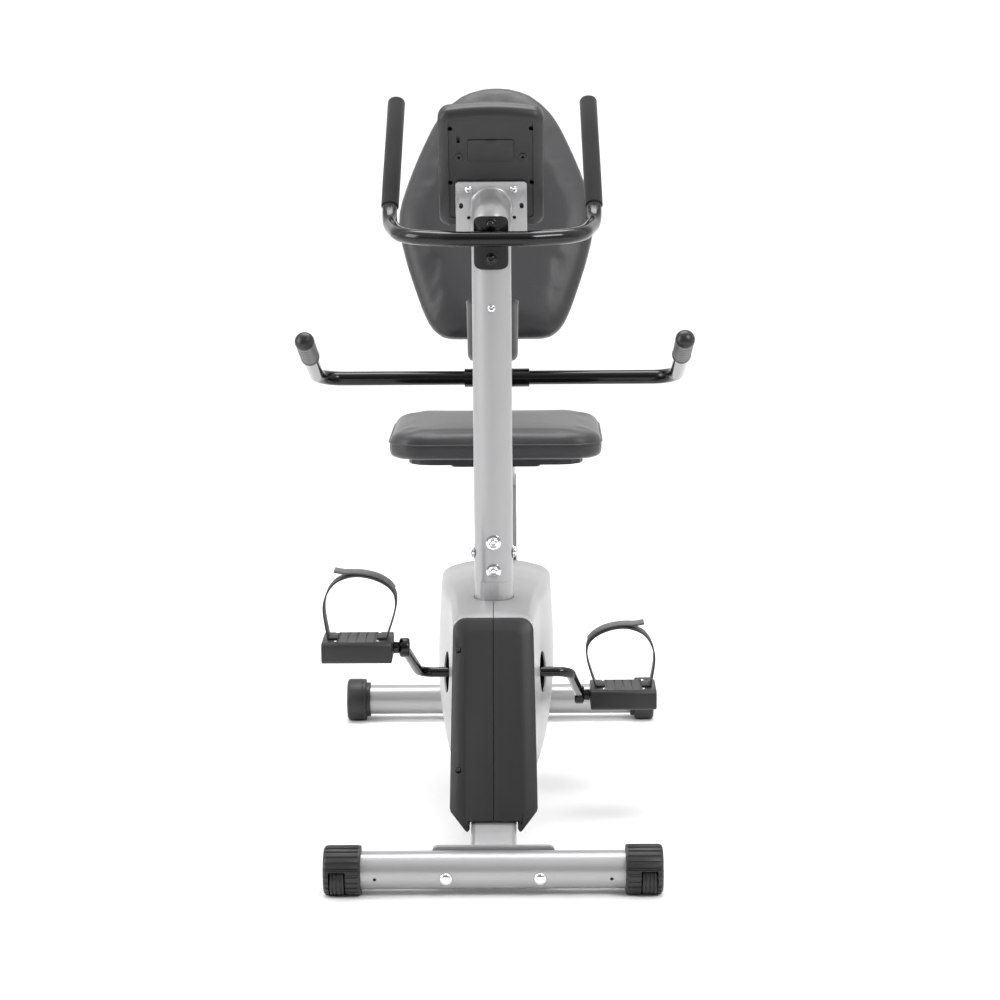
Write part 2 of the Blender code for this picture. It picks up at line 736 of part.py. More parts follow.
def pin_place():
    return rail_point(seat_along()) - RAIL_UP * RAIL_DEPTH / 2


def pin_slot():
    """Slot in the underside of the rail in which the adjuster pin travels with the seat."""
    half_width = ADJUSTER_D / 2 + RUNNING_GAP
    length = SEAT_TRAVEL + 2 * half_width
    middle = pin_place() + RAIL_ALONG * SEAT_TRAVEL / 2
    return plate(middle, rounded_section(2 * half_width, length, half_width * 0.98, 4), RAIL_WALL * 4,
                 (ACROSS, RAIL_ALONG, RAIL_UP))


# ---------------------------------------------------------------- drive


def build_crank():
    """One-piece crank: a bent rod with an eye at each end."""
    towards = {
        1: Vector((0, math.cos(CRANK_TILT), -math.sin(CRANK_TILT))),
        -1: Vector((0, -math.cos(CRANK_TILT), math.sin(CRANK_TILT))),
    }
    corners = []
    for side in (-1, 1):
        arm = [
            CRANK_AXIS + ACROSS * side * CRANK_EYE_SIDE + towards[side] * (CRANK_ARM - CRANK_EYE_D / 4),
            CRANK_AXIS + ACROSS * side * CRANK_ARM_INSIDE,
        ]
        corners += arm if side < 0 else arm[::-1]
    path = bent_path(corners, 0.024, 3)
    crank = add_object("crank", swept(path, circle_section(CRANK_ROD_D / 2, 12), side=(0, 0, 1)),
                       black_paint(), pivot=CRANK_AXIS)
    for side, label in LEFT_RIGHT:
        out = ACROSS * side
        eye = CRANK_AXIS + out * (CRANK_EYE_SIDE - CRANK_EYE_WIDTH / 2) + towards[side] * CRANK_ARM
        weld(crank, turned(eye, out, [
            (0, 0), (0, CRANK_EYE_D / 2 - 0.002), (0.002, CRANK_EYE_D / 2),
            (CRANK_EYE_WIDTH - 0.002, CRANK_EYE_D / 2), (CRANK_EYE_WIDTH, CRANK_EYE_D / 2 - 0.002),
            (CRANK_EYE_WIDTH, 0),
        ], 16))
        build_pedal(side, label, CRANK_AXIS + towards[side] * CRANK_ARM)


def build_pedal(side, label, pivot):
    out = ACROSS * side
    face = CRANK_EYE_SIDE + CRANK_EYE_WIDTH / 2 + GAP
    inner = PEDAL_SIDE - PEDAL_WIDTH / 2
    tip = PEDAL_SIDE + PEDAL_WIDTH * 0.36
    add_object(
        "pedal_spindle_" + label,
        turned(pivot + out * face, out, [
            (0, 0), (0, 0.0092), (inner - face - RUNNING_GAP, 0.0092),
            (inner - face - RUNNING_GAP, SPINDLE_D / 2), (tip - face, SPINDLE_D / 2), (tip - face, 0),
        ], 16),
        zinc(),
        pivot=pivot,
    )
    body_outline = rounded_section(PEDAL_DEPTH, PEDAL_THICKNESS, 0.007, 3)
    pedal = add_object(
        "pedal_" + label,
        prism([(pivot.y + u, pivot.z + v) for u, v in body_outline],
              side * inner, side * (inner + PEDAL_WIDTH)),
        black_plastic(),
        pivot=pivot,
    )
    cut(pedal, rod(pivot + out * (inner - 0.01), pivot + out * (tip + RUNNING_GAP),
                   SPINDLE_D / 2 + GAP, 16))
    build_strap(side, label, pivot)


def build_strap(side, label, pivot):
    """Foot strap: an arch across the pedal, fuller on the crank's side, its ends flat on the pedal."""
    low = PEDAL_THICKNESS / 2 + STRAP_THICKNESS / 2 + GAP
    foot = STRAP_FOOT
    high = STRAP_HEIGHT
    shape = [(-foot + STRAP_TURN_IN, 0), (-foot, 0), (-foot * 1.14, high * 0.20), (-foot * 1.27, high * 0.48),
             (-foot * 1.12, high * 0.74), (-foot * 0.66, high * 0.95), (0, high), (foot * 0.66, high * 0.94),
             (foot * 1.04, high * 0.72), (foot * 1.13, high * 0.42), (foot * 1.08, high * 0.18), (foot, 0),
             (foot - STRAP_TURN_IN, 0)]
    middle = pivot + ACROSS * side * PEDAL_SIDE + Vector((0, 0, low))
    corners = [middle + Vector((u * side, 0, v)) for u, v in shape]
    wide = STRAP_WIDTH / 2
    thin = STRAP_THICKNESS / 2
    section = [(wide, thin), (-wide, thin), (-wide, -thin), (wide, -thin)]
    add_object("pedal_strap_" + label, swept(bent_path(corners, 0.006, 1), section, side=(0, 1, 0)),
               black_foam(), pivot=pivot)


def pulley_profile(radius, bore, lip=0.002):
    """Flat belt pulley with a low lip on each edge."""
    half = PULLEY_WIDTH / 2
    bed = BELT_WIDTH / 2 + GAP * 2
    return [(-half, bore), (-half, radius + lip), (-bed, radius + lip), (-bed, radius),
            (bed, radius), (bed, radius + lip), (half, radius + lip), (half, bore)]


def belt_loop(radius_a, radius_b):
    """Outline of an open belt around the two pulleys, in (y, z)."""
    centre_a = (CRANK_AXIS.y, CRANK_AXIS.z)
    centre_b = (FLYWHEEL_AXIS.y, FLYWHEEL_AXIS.z)
    across = FLYWHEEL_AXIS - CRANK_AXIS
    heading = math.atan2(across.z, across.y)
    wrap = math.acos((radius_a - radius_b) / across.length)
    outline = []
    chord = math.cos((math.pi - wrap) / 20)
    radius_a /= chord
    radius_b /= math.cos(wrap / 8)
    for step in range(21):
        angle = heading + wrap + (2 * math.pi - 2 * wrap) * step / 20
        outline.append((centre_a[0] + radius_a * math.cos(angle), centre_a[1] + radius_a * math.sin(angle)))
    for step in range(9):
        angle = heading - wrap + 2 * wrap * step / 8
        outline.append((centre_b[0] + radius_b * math.cos(angle), centre_b[1] + radius_b * math.sin(angle)))
    return outline


def build_drive():
    side = ACROSS * PULLEY_SIDE
    radius = CRANK_PULLEY_D / 2
    pulley = add_object(
        "crank_pulley",
        turned(CRANK_AXIS + side, ACROSS, pulley_profile(radius, CRANK_ROD_D / 2 + GAP), 28),
        black_plastic(),
        pivot=CRANK_AXIS + side,
    )
    for step in range(5):
        angle = 2 * math.pi * step / 5
        hole = CRANK_AXIS + Vector((0, math.cos(angle), math.sin(angle))) * radius * 0.6
        cut(pulley, rod(hole, hole + ACROSS * 0.1, radius * 0.22, 10))
    small = SMALL_PULLEY_D / 2
    axle_bore = AXLE_D / 2 + GAP
    add_object(
        "flywheel_pulley",
        turned(FLYWHEEL_AXIS + side, ACROSS, pulley_profile(small, axle_bore), 18),
        zinc(),
        pivot=FLYWHEEL_AXIS + side,
    )
    seat = GAP
    outer = belt_loop(radius + seat + BELT_THICKNESS, small + seat + BELT_THICKNESS)
    inner = belt_loop(radius + seat, small + seat)
    rings = [[Vector((x, y, z)) for y, z in outline] for outline, x in (
        (outer, PULLEY_SIDE - BELT_WIDTH / 2), (outer, PULLEY_SIDE + BELT_WIDTH / 2),
        (inner, PULLEY_SIDE + BELT_WIDTH / 2), (inner, PULLEY_SIDE - BELT_WIDTH / 2))]
    add_object("drive_belt", loft(rings, closed_loop=True), belt_rubber())

    half = FLYWHEEL_WIDTH / 2
    rim = FLYWHEEL_D / 2
    hub_half = RAIL_WIDTH / 2 - 0.004
    add_object(
        "flywheel",
        turned(FLYWHEEL_AXIS, ACROSS, [
            (-hub_half, axle_bore), (-hub_half, 0.018), (-0.008, 0.020), (-0.008, rim - 0.022),
            (-half, rim - 0.018), (-half, rim - 0.002), (-half + 0.002, rim), (half - 0.002, rim),
            (half, rim - 0.002), (half, rim - 0.018), (0.008, rim - 0.022), (0.008, 0.020),
            (hub_half, 0.018), (hub_half, axle_bore),
        ], 24),
        cast_iron(),
        pivot=FLYWHEEL_AXIS,
    )
    add_object(
        "flywheel_axle",
        rod(FLYWHEEL_AXIS - ACROSS * 0.046, FLYWHEEL_AXIS + ACROSS * 0.072, AXLE_D / 2, 16),
        zinc(),
    )
    build_idler()
    build_magnet_bracket()


def belt_lower_run(y):
    """Height of the belt's lower run at a place along the bike."""
    outline = belt_loop(CRANK_PULLEY_D / 2 + GAP + BELT_THICKNESS, SMALL_PULLEY_D / 2 + GAP + BELT_THICKNESS)
    start = Vector(outline[20])
    end = Vector(outline[21])
    share = (y - start.x) / (end.x - start.x)
    return start.y + (end.y - start.y) * share


def build_idler():
    """Idler wheel that lies on the back of the belt's lower run, and its arm."""
    y = FRONT_Y + IDLER_BACK
    axis = Vector((0, y, belt_lower_run(y) - IDLER_D / 2 - GAP * 2))
    side = ACROSS * PULLEY_SIDE
    add_object(
        "idler_wheel",
        turned(axis + side, ACROSS, [
            (-0.007, 0.0043), (-0.007, IDLER_D / 2), (0.007, IDLER_D / 2), (0.007, 0.0043),
        ], 20),
        black_plastic(),
        pivot=axis + side,
    )
    arm_side = RAIL_WIDTH / 2 + 0.010
    pivot = rail_point((FLYWHEEL_AXIS - CRANK_AXIS).dot(RAIL_ALONG) - 0.098)
    arm_path = [Vector((arm_side, pivot.y, pivot.z)), Vector((arm_side, axis.y, axis.z))]
    arm = add_object(
        "idler_arm",
        swept([arm_path[0] - (arm_path[1] - arm_path[0]).normalized() * 0.012,
               arm_path[1] + (arm_path[1] - arm_path[0]).normalized() * 0.010],
              rounded_section(0.005, 0.018, 0.002, 1), side=ACROSS),
        zinc(),
    )
    weld(arm, rod(Vector((arm_side, axis.y, axis.z)), Vector((PULLEY_SIDE + 0.008, axis.y, axis.z)), 0.004, 12))
    weld(arm, rod(Vector((RAIL_WIDTH / 2 + GAP, pivot.y, pivot.z)), Vector((arm_side, pivot.y, pivot.z)),
                  0.006, 12))


def magnet_hinge():
    """Axis of the magnet bracket, just above the bracket's upper end."""
    reach = FLYWHEEL_D / 2 + MAGNET_GAP + MAGNET_THICKNESS + 0.004
    return FLYWHEEL_AXIS + Vector((0, math.cos(MAGNET_START), math.sin(MAGNET_START))) * reach


def build_magnet_bracket():
    """Curved bracket behind the flywheel's rim that carries the brake magnets, and its pin."""
    inner = FLYWHEEL_D / 2 + MAGNET_GAP
    outer = inner + MAGNET_THICKNESS
    half = MAGNET_HALF_WIDTH
    rings = []
    steps = 8
    for step in range(steps + 1):
        angle = MAGNET_START - MAGNET_ARC * step / steps
        ring = []
        for radius, x in ((inner, -half), (outer, -half), (outer, half), (inner, half)):
            ring.append(FLYWHEEL_AXIS + Vector((x, math.cos(angle) * radius, math.sin(angle) * radius)))
        rings.append(ring)
    hinge = magnet_hinge()
    bracket = add_object("magnet_bracket", loft(rings), zinc(), pivot=hinge)
    weld(bracket, rod(hinge - ACROSS * half, hinge + ACROSS * half, 0.007, 14))
    cut(bracket, rod(hinge - ACROSS * half * 1.5, hinge + ACROSS * half * 1.5, MAGNET_PIN_D / 2 + GAP, 12))
    reach = ACROSS * (RAIL_WIDTH / 2 + FORK_THICKNESS - 0.001)
    add_object("magnet_pin", rod(hinge - reach, hinge + reach, MAGNET_PIN_D / 2, 12), zinc())


# ---------------------------------------------------------------- mast and front handlebar


def mast_path():
    """Middle line of the mast: straight up from its joint, then back square to the console plate."""
    end = mast_top()
    start = mast_point(MAST_JOINT_HEIGHT) + MAST_UP * GAP
    # The two straight lines meet where the line into the plate crosses the mast's own axis.
    run = (end.y - start.y) * MAST_UP.z - (end.z - start.z) * MAST_UP.y
    fall = CONSOLE_OUT.y * MAST_UP.z - CONSOLE_OUT.z * MAST_UP.y
    corner = end - CONSOLE_OUT * (run / fall)
    return bent_path([start, corner, end], MAST_BEND_RADIUS, 4)


def mast_top():
    """Where the mast's middle line meets the console plate."""
    turn = math.pi / 2 + MAST_LEAN - CONSOLE_TILT
    reach = MAST_BEND_RADIUS * math.tan(turn / 2) + MAST_TOP_REACH
    corner = mast_point(MAST_TOP_HEIGHT - reach * CONSOLE_OUT.z)
    return corner + CONSOLE_OUT * reach


def console_place(across, up, out):
    """Point from the console's back face middle, in its own directions."""
    face = mast_top() + CONSOLE_OUT * (PLATE_THICKNESS + GAP)
    return face + CONSOLE_UP * (CONSOLE_RISE + up) + ACROSS * across + CONSOLE_OUT * out


def build_mast():
    outer = circle_section(MAST_D / 2, 24)
    inner = circle_section(MAST_D / 2 - MAST_WALL, 24)
    path = mast_path()
    path[-1] = path[-1] + CONSOLE_OUT * PLATE_THICKNESS / 3
    mast = add_object("mast", swept(path, outer, hollow=inner), silver_paint())
    middle = mast_top() + CONSOLE_OUT * PLATE_THICKNESS / 2 - CONSOLE_UP * PLATE_DROP
    weld(mast, plate(middle, rounded_section(PLATE_WIDTH, PLATE_HEIGHT, 0.006, 2), PLATE_THICKNESS,
                     (ACROSS, CONSOLE_UP, CONSOLE_OUT)))
    build_bottle_holder()


def build_bottle_holder():
    """Cup with a flat pad that a screw holds against the back of the mast."""
    base = mast_point(HOLDER_TOP_HEIGHT - HOLDER_HEIGHT)
    inner = HOLDER_D / 2 - HOLDER_WALL
    pad = 0.006
    centre = base + Vector((0, MAST_D / 2 + pad + HOLDER_D / 2 - 0.002, 0))
    up = Vector((0, 0, 1))
    holder = add_object(
        "bottle_holder",
        turned(centre, up, [
            (0, 0), (0, HOLDER_D / 2 - 0.008), (0.006, HOLDER_D / 2 - 0.002), (HOLDER_HEIGHT, HOLDER_D / 2),
            (HOLDER_HEIGHT, inner), (HOLDER_WALL, inner - 0.006), (HOLDER_WALL, 0),
        ], 24),
        black_plastic(),
    )
    pad_height = 0.070
    pad_middle = mast_point(HOLDER_TOP_HEIGHT - pad_height / 2) + Vector((0, MAST_D / 2 + pad / 2 + GAP * 4, 0))
    weld(holder, slab(pad_middle, (0.030, pad, pad_height)))
    low = mast_point(HOLDER_TOP_HEIGHT - HOLDER_HEIGHT * 2)
    high = mast_point(HOLDER_TOP_HEIGHT + HOLDER_HEIGHT)
    cut(holder, rod(low, high, MAST_D / 2 + 2 * GAP, 24))


def handlebar_path():
    """Middle line of the left half of the handlebar, from its middle to the grip's end."""
    y = FRONT_Y
    return [
        Vector((0, y + BAR_BACK, BAR_HEIGHT)),
        Vector((BRACKET_WIDTH / 2 + 0.040, y + BAR_BACK, BAR_HEIGHT)),
        Vector((BAR_REACH * 0.90, y + BAR_BACK + 0.036, BAR_HEIGHT + 0.003)),
        Vector((BAR_REACH, y + BAR_BACK + 0.140, BAR_HEIGHT + 0.010)),
        Vector((BAR_TOP_REACH, y + BAR_TOP_BACK, BAR_TOP_HEIGHT)),
    ]


def build_handlebar():
    half = bent_path(handlebar_path(), 0.075, 2)
    other = [Vector((-point.x, point.y, point.z)) for point in half[1:]]
    path = other[::-1] + half[1:]
    radius = BAR_D / 2
    add_object("handlebar", swept(path, circle_section(radius, 12), side=(0, 0, 1),
                                  hollow=circle_section(radius - BAR_WALL, 12)), black_paint())
    grip_end = half[-1]
    way = (half[-1] - half[-2]).normalized()
    bore = radius + GAP
    outer = BAR_GRIP_D / 2
    for side, label in LEFT_RIGHT:
        tip = Vector((side * grip_end.x, grip_end.y, grip_end.z))
        heading = Vector((side * way.x, way.y, way.z))
        add_object(
            "grip_" + label,
            turned(tip, heading, [
                (GAP, 0), (GAP, bore), (-BAR_GRIP_LENGTH, bore), (-BAR_GRIP_LENGTH, outer), (0.003, outer),
                (0.006, outer - 0.003), (0.006, 0),
            ], 18),
            black_foam(),
        )
    build_bracket()


def build_bracket():
    """Curved bracket that holds the handlebar against the front of the mast."""
    bar = Vector((0, FRONT_Y + BAR_BACK, BAR_HEIGHT))
    middle = mast_point(BAR_HEIGHT - 0.006)
    inner = MAST_D / 2 + 2 * GAP
    outer = inner + BRACKET_THICKNESS
    spread = math.asin(BRACKET_WIDTH / 2 / outer)
    forward = MAST_UP.cross(ACROSS)
    section = []
    for radius, way in ((outer, 1), (inner, -1)):
        for step in range(-4, 5):
            angle = way * spread * step / 4
            section.append(ACROSS * radius * math.sin(angle) - forward * radius * math.cos(angle))
    rings = [[middle + MAST_UP * side * BRACKET_HEIGHT / 2 + point for point in section] for side in (-1, 1)]
    bracket = add_object("handlebar_bracket", loft(rings), black_paint())
    face = middle.y - outer
    depth = face - bar.y + 0.002
    weld(bracket, slab(Vector((0, bar.y + depth / 2, bar.z)), (0.034, depth, 0.018)))
    cut(bracket, rod(bar - ACROSS * 0.05, bar + ACROSS * 0.05, BAR_D / 2 + GAP, 20))


# ---------------------------------------------------------------- console


def build_console():
    axes = (ACROSS, CONSOLE_UP, CONSOLE_OUT)
    outline = rounded_section(CONSOLE_WIDTH, CONSOLE_HEIGHT, CONSOLE_CORNER, 3)
    inset = CONSOLE_WALL
    hollow = rounded_section(CONSOLE_WIDTH - 2 * inset, CONSOLE_HEIGHT - 2 * inset, CONSOLE_CORNER - inset, 3)
    back = add_object(
        "console_back",
        plate(console_place(0, 0, CONSOLE_BACK_DEPTH / 2), outline, CONSOLE_BACK_DEPTH, axes),
        black_plastic(),
    )
    cut(back, plate(console_place(0, 0, inset + CONSOLE_BACK_DEPTH / 2), hollow, CONSOLE_BACK_DEPTH, axes))
    door_up = door_rise()
    door_hole = rounded_section(DOOR_WIDTH + RUNNING_GAP, DOOR_HEIGHT + RUNNING_GAP, 0.003, 2)
    cut(back, plate(console_place(0, door_up, 0), door_hole, 0.02, axes))
    add_object(
        "battery_door",
        plate(console_place(0, door_up, DOOR_THICKNESS / 2 + GAP), rounded_section(DOOR_WIDTH, DOOR_HEIGHT, 0.003, 2),
              DOOR_THICKNESS, axes),
        black_plastic(),
        pivot=console_place(0, door_up, GAP),
    )
    front_start = CONSOLE_BACK_DEPTH + GAP
    front_outline = rounded_section(CONSOLE_WIDTH - 0.006, CONSOLE_HEIGHT - 0.006, CONSOLE_CORNER - 0.003, 3)
    rings = [[console_place(u, v, out) for u, v in section]
             for section, out in ((outline, front_start), (outline, front_start + CONSOLE_FRONT_DEPTH - 0.004),
                                  (front_outline, front_start + CONSOLE_FRONT_DEPTH))]
    front = add_object("console_front", loft(rings), black_plastic())
    cut(front, plate(console_place(0, 0, front_start + CONSOLE_FRONT_DEPTH / 2 - inset), hollow,
                     CONSOLE_FRONT_DEPTH, axes))
    screen_up = CONSOLE_HEIGHT * 0.17
    face = front_start + CONSOLE_FRONT_DEPTH
    window = rounded_section(SCREEN_WIDTH + 2 * GAP, SCREEN_HEIGHT + 2 * GAP, 0.004, 2)
    cut(front, plate(console_place(0, screen_up, face), window, 0.02, axes))
    add_object(
        "console_screen",
        plate(console_place(0, screen_up, face - 0.0012 - SCREEN_THICKNESS / 2),
              rounded_section(SCREEN_WIDTH, SCREEN_HEIGHT, 0.004, 2), SCREEN_THICKNESS, axes),
        screen_glass(),
    )
    for index, label in ((-1, "mode"), (0, "set"), (1, "clear")):
        place = console_place(index * BUTTON_SPACING, -CONSOLE_HEIGHT * 0.22, face)
        cut(front, rod(place - CONSOLE_OUT * 0.01, place + CONSOLE_OUT * 0.01, BUTTON_D / 2 + 2 * GAP, 14))
        proud = BUTTON_TRAVEL + 0.0008
        add_object(
            "button_" + label,
            turned(place - CONSOLE_OUT * (inset + 0.001), CONSOLE_OUT, [
                (0, 0), (0, BUTTON_D / 2), (inset + proud, BUTTON_D / 2),
                (inset + 0.001 + proud, BUTTON_D / 2 - 0.001), (inset + 0.001 + proud, 0),
            ], 14),
            black_plastic(),
            pivot=place,
        )


def door_rise():
    return CONSOLE_HEIGHT / 2 - 0.070


# ---------------------------------------------------------------- shroud


def shroud_levels(inset):
    """Front, rear and half width of the shroud at each height, drawn in by an inset."""
    low = SHROUD_BOTTOM_HEIGHT
    shoulder = SHROUD_SHOULDER_HEIGHT
    rise = shoulder - low
    lean = (SHROUD_FRONT_HIGH_BACK - SHROUD_FRONT_LOW_BACK) / rise
    crown = SHROUD_TOP_HEIGHT - shoulder
    rear = SHROUD_REAR_BACK
    wide = SHROUD_HALF_WIDTH
    levels = []
    for height, narrow, rear_in in ((0.0, 0.046, 0.100), (0.008, 0.032, 0.075), (0.028, 0.015, 0.045),
                                    (0.060, 0.004, 0.016), (0.120, 0.0, 0.0),
                                    (rise * 0.72, 0.003, 0.004), (rise * 0.91, 0.0055, 0.020)):
        levels.append((low + height, SHROUD_FRONT_LOW_BACK + lean * height, rear - rear_in, wide - narrow))
    for share, recede, narrow, rear_in in ((0.0, 0.004, 0.0075, 0.038), (0.26, 0.080, 0.012, 0.062),
                                           (0.70, 0.150, 0.024, 0.105), (1.0, 0.230, 0.046, 0.170)):
        levels.append((shoulder + crown * share, SHROUD_FRONT_HIGH_BACK + recede, rear - rear_in, wide - narrow))
    drawn = []
    for index, (height, front, back, half) in enumerate(levels):
        moved = height
        if index == 0:
            moved = height + inset
        if index == len(levels) - 1:
            moved = height - inset
        drawn.append((moved, front + inset * 1.1, back - inset * 1.1, half - inset))
    return drawn


def shroud_ring(side, level, inner_x):
    """Half of a level outline: from the middle of the front, out along the flared side, to the rear."""
    height, front, back, half = level
    length = back - front
    scale = min(1.0, length / 0.55)
    rear_corner = min(0.070, length * 0.15)
    flat = min(PANEL_HALF_TOP, half * 0.70)
    flare = half - flat
    points = [(inner_x, front), (flat * 0.6, front + 0.0005), (flat, front + 0.004 * scale)]
    for share, run in ((0.08, 0.050), (0.30, 0.163), (0.585, 0.229), (0.853, 0.300), (0.97, 0.370), (1.0, 0.450)):
        points.append((flat + flare * share, front + run * scale))
    for step in range(4):
        angle = math.pi / 2 * step / 3
        points.append((half * (0.35 + 0.65 * math.cos(angle)), back - rear_corner * (1 - math.sin(angle))))
    points.append((inner_x, back))
    return [Vector((side * x, FRONT_Y + y, height)) for x, y in points]


def build_shroud():
    for side, label in LEFT_RIGHT:
        outer = [shroud_ring(side, level, GAP) for level in shroud_levels(0.0)]
        shell = add_object("shroud_" + label, loft(outer), silver_plastic())
        inner = [shroud_ring(side, level, -0.010) for level in shroud_levels(SHROUD_WALL)]
        cut(shell, loft(inner))
        out = ACROSS * side
        cut(shell, rod(CRANK_AXIS + out * SHROUD_HALF_WIDTH * 0.6, CRANK_AXIS + out * SHROUD_HALF_WIDTH * 1.3,
                       CRANK_HOLE_D / 2, 24))
        cut(shell, swept([mast_point(SHROUD_SHOULDER_HEIGHT - 0.05), mast_point(SHROUD_TOP_HEIGHT + 0.05)],
                         circle_section(MAST_D / 2 + RUNNING_GAP, 24)))
        rail_hole = rounded_section(RAIL_WIDTH + 2 * RUNNING_GAP, RAIL_DEPTH + 2 * RUNNING_GAP, 0.009, 2)
        cut(shell, swept([rail_point(RAIL_SPLIT - 0.10), rail_point(RAIL_SPLIT + 0.15)], rail_hole))
        cut(shell, foot_cutter())
        build_front_panel(side, label)


def foot_cutter():
    """Clearance for the foot tube, to cut from the shroud and its panels."""
    section = rounded_section(FOOT_TUBE_WIDTH + 2 * RUNNING_GAP, FOOT_TUBE_DEPTH + 2 * RUNNING_GAP,
                              FOOT_TUBE_CORNER + RUNNING_GAP)
    return swept(foot_line(), section)


def shroud_front(height):
    """How far back the shroud's front face is at a height."""
    share = (height - SHROUD_BOTTOM_HEIGHT) / (SHROUD_SHOULDER_HEIGHT - SHROUD_BOTTOM_HEIGHT)
    return FRONT_Y + SHROUD_FRONT_LOW_BACK + (SHROUD_FRONT_HIGH_BACK - SHROUD_FRONT_LOW_BACK) * share


def build_front_panel(side, label):
    """Black moulded panel over half of the shroud's sloping front, proud with a bevelled edge."""
    rings = []
    tall = PANEL_HIGH_HEIGHT - PANEL_CORNER_HEIGHT
    for height, narrow in ((PANEL_LOW_HEIGHT, 0.0), (PANEL_CORNER_HEIGHT, 0.0), (PANEL_HIGH_HEIGHT - 0.030, 0.0),
                           (PANEL_HIGH_HEIGHT - 0.009, 0.009), (PANEL_HIGH_HEIGHT, 0.028)):
        share = (height - PANEL_CORNER_HEIGHT) / tall
        edge = PANEL_HALF_BOTTOM + (PANEL_HALF_TOP - PANEL_HALF_BOTTOM) * share - narrow
        flat = min(PANEL_FLAT, edge - 0.004)
        if height < PANEL_CORNER_HEIGHT:
            edge -= PANEL_CORNER_HEIGHT - height
            flat = edge - 0.004
        face = shroud_front(height) - GAP
        section = [(GAP, face), (flat, face), (edge, face), (edge, face - 0.002),
                   (flat, face - PANEL_PROUD), (GAP, face - PANEL_PROUD)]
        rings.append([Vector((side * x, y, height)) for x, y in section])
    panel = add_object("front_panel_" + label, loft(rings), black_plastic())
    cut(panel, foot_cutter())


# ---------------------------------------------------------------- seat


def upright_line(height):
    """Point on the seat upright's middle line at a height."""
    offset = BACK_THICKNESS + SEAT_BOARD_THICKNESS + 2 * GAP + SEAT_TUBE_D / 2 + GAP
    foot = Vector((0, FRONT_Y + BACK_BOTTOM_BACK, BACK_BOTTOM_HEIGHT)) + BACK_OUT * offset
    return foot + BACK_UP * ((height - foot.z) / BACK_UP.z)


def seat_tube_height():
    return SEAT_BOTTOM_HEIGHT - SEAT_BOARD_THICKNESS - SEAT_PLATE_THICKNESS - 2 * GAP - SEAT_TUBE_D / 2


def build_seat_frame():
    """Weldment: the bent tube under the seat and behind the back, its plate and the bar sleeve."""
    height = seat_tube_height()
    seat_y = FRONT_Y + SEAT_FRONT_BACK
    radius = SEAT_TUBE_D / 2
    corner = Vector((0, seat_y + SEAT_DEPTH + 0.020 + radius, height))
    path = bent_path([Vector((0, seat_y + 0.035, height)), corner, upright_line(BACK_BOTTOM_HEIGHT - 0.020),
                      upright_line(0.930)], 0.050, 3)
    frame = add_object("seat_frame", swept(path, circle_section(radius, 14),
                                           hollow=circle_section(radius - SEAT_TUBE_WALL, 14)), black_paint())
    plate_z = height + radius + SEAT_PLATE_THICKNESS / 2 - 0.0006
    flat_axes = (ACROSS, Vector((0, 1, 0)), Vector((0, 0, 1)))
    weld(frame, plate(Vector((0, seat_y + 0.045 + SEAT_PLATE_DEPTH / 2, plate_z)),
                      rounded_section(SEAT_PLATE_WIDTH, SEAT_PLATE_DEPTH, 0.01, 2), SEAT_PLATE_THICKNESS, flat_axes))
    sleeve = bar_axis()
    sleeve_half = ACROSS * BAR_SLEEVE_WIDTH / 2
    weld(frame, rod(sleeve - sleeve_half, sleeve + sleeve_half, BAR_SLEEVE_D / 2, 20))
    cut(frame, rod(sleeve - sleeve_half * 1.2, sleeve + sleeve_half * 1.2, SEAT_BAR_D / 2 + GAP, 20))


def bar_axis():
    """Middle of the seat handlebar, in front of the upright."""
    reach = SEAT_TUBE_D / 2 + BAR_SLEEVE_D / 2 - 0.001
    foot = Vector((0, FRONT_Y + SEAT_FRONT_BACK + SEAT_DEPTH + 0.020 + SEAT_TUBE_D / 2, seat_tube_height()))
    head = upright_line(BACK_BOTTOM_HEIGHT - 0.020)
    share = (SEAT_BAR_HEIGHT - foot.z) / (head.z - foot.z)
    return foot.lerp(head, share) - Vector((0, reach, 0))


def build_seat():
    board_z = SEAT_BOTTOM_HEIGHT - SEAT_BOARD_THICKNESS / 2 - GAP
    seat_y = FRONT_Y + SEAT_FRONT_BACK
    middle = Vector((0, seat_y + SEAT_DEPTH / 2, board_z))
    flat_axes = (ACROSS, Vector((0, 1, 0)), Vector((0, 0, 1)))
    board = rounded_section(SEAT_WIDTH - 2 * SEAT_BOARD_INSET, SEAT_DEPTH - 2 * SEAT_BOARD_INSET, 0.04, 3)
    add_object("seat_board", plate(middle, board, SEAT_BOARD_THICKNESS, flat_axes), black_plastic(), smooth=False)
    rings = []
    for height, inset in ((0.0, 0.006), (0.010, 0.0), (SEAT_THICKNESS - 0.012, 0.0), (SEAT_THICKNESS, 0.012)):
        section = rounded_section(SEAT_WIDTH - 2 * inset, SEAT_DEPTH - 2 * inset, 0.05 - inset, 4)
        rings.append([Vector((u, middle.y + v, SEAT_BOTTOM_HEIGHT + height)) for u, v in section])
    add_object("seat_cushion", loft(rings), vinyl())


def back_outline(inset):
    """Backrest outline in (across, along): narrow flat foot, widest at mid height, rounded top."""
    wide = BACK_WIDTH / 2 - inset
    low = inset
    tall = BACK_LENGTH - 2 * inset
    corners = [Vector((0, low, 0)), Vector((wide * 0.63, low, 0)), Vector((wide * 1.03, low + tall * 0.47, 0)),
               Vector((wide * 0.66, low + tall * 0.88, 0)), Vector((wide * 0.36, low + tall, 0)),
               Vector((0, low + tall, 0))]
    half = bent_path(corners, 0.075, 3)
    right = [(point.x, point.y) for point in half]
    return right + [(-u, v) for u, v in right[::-1] if u > 0.001]


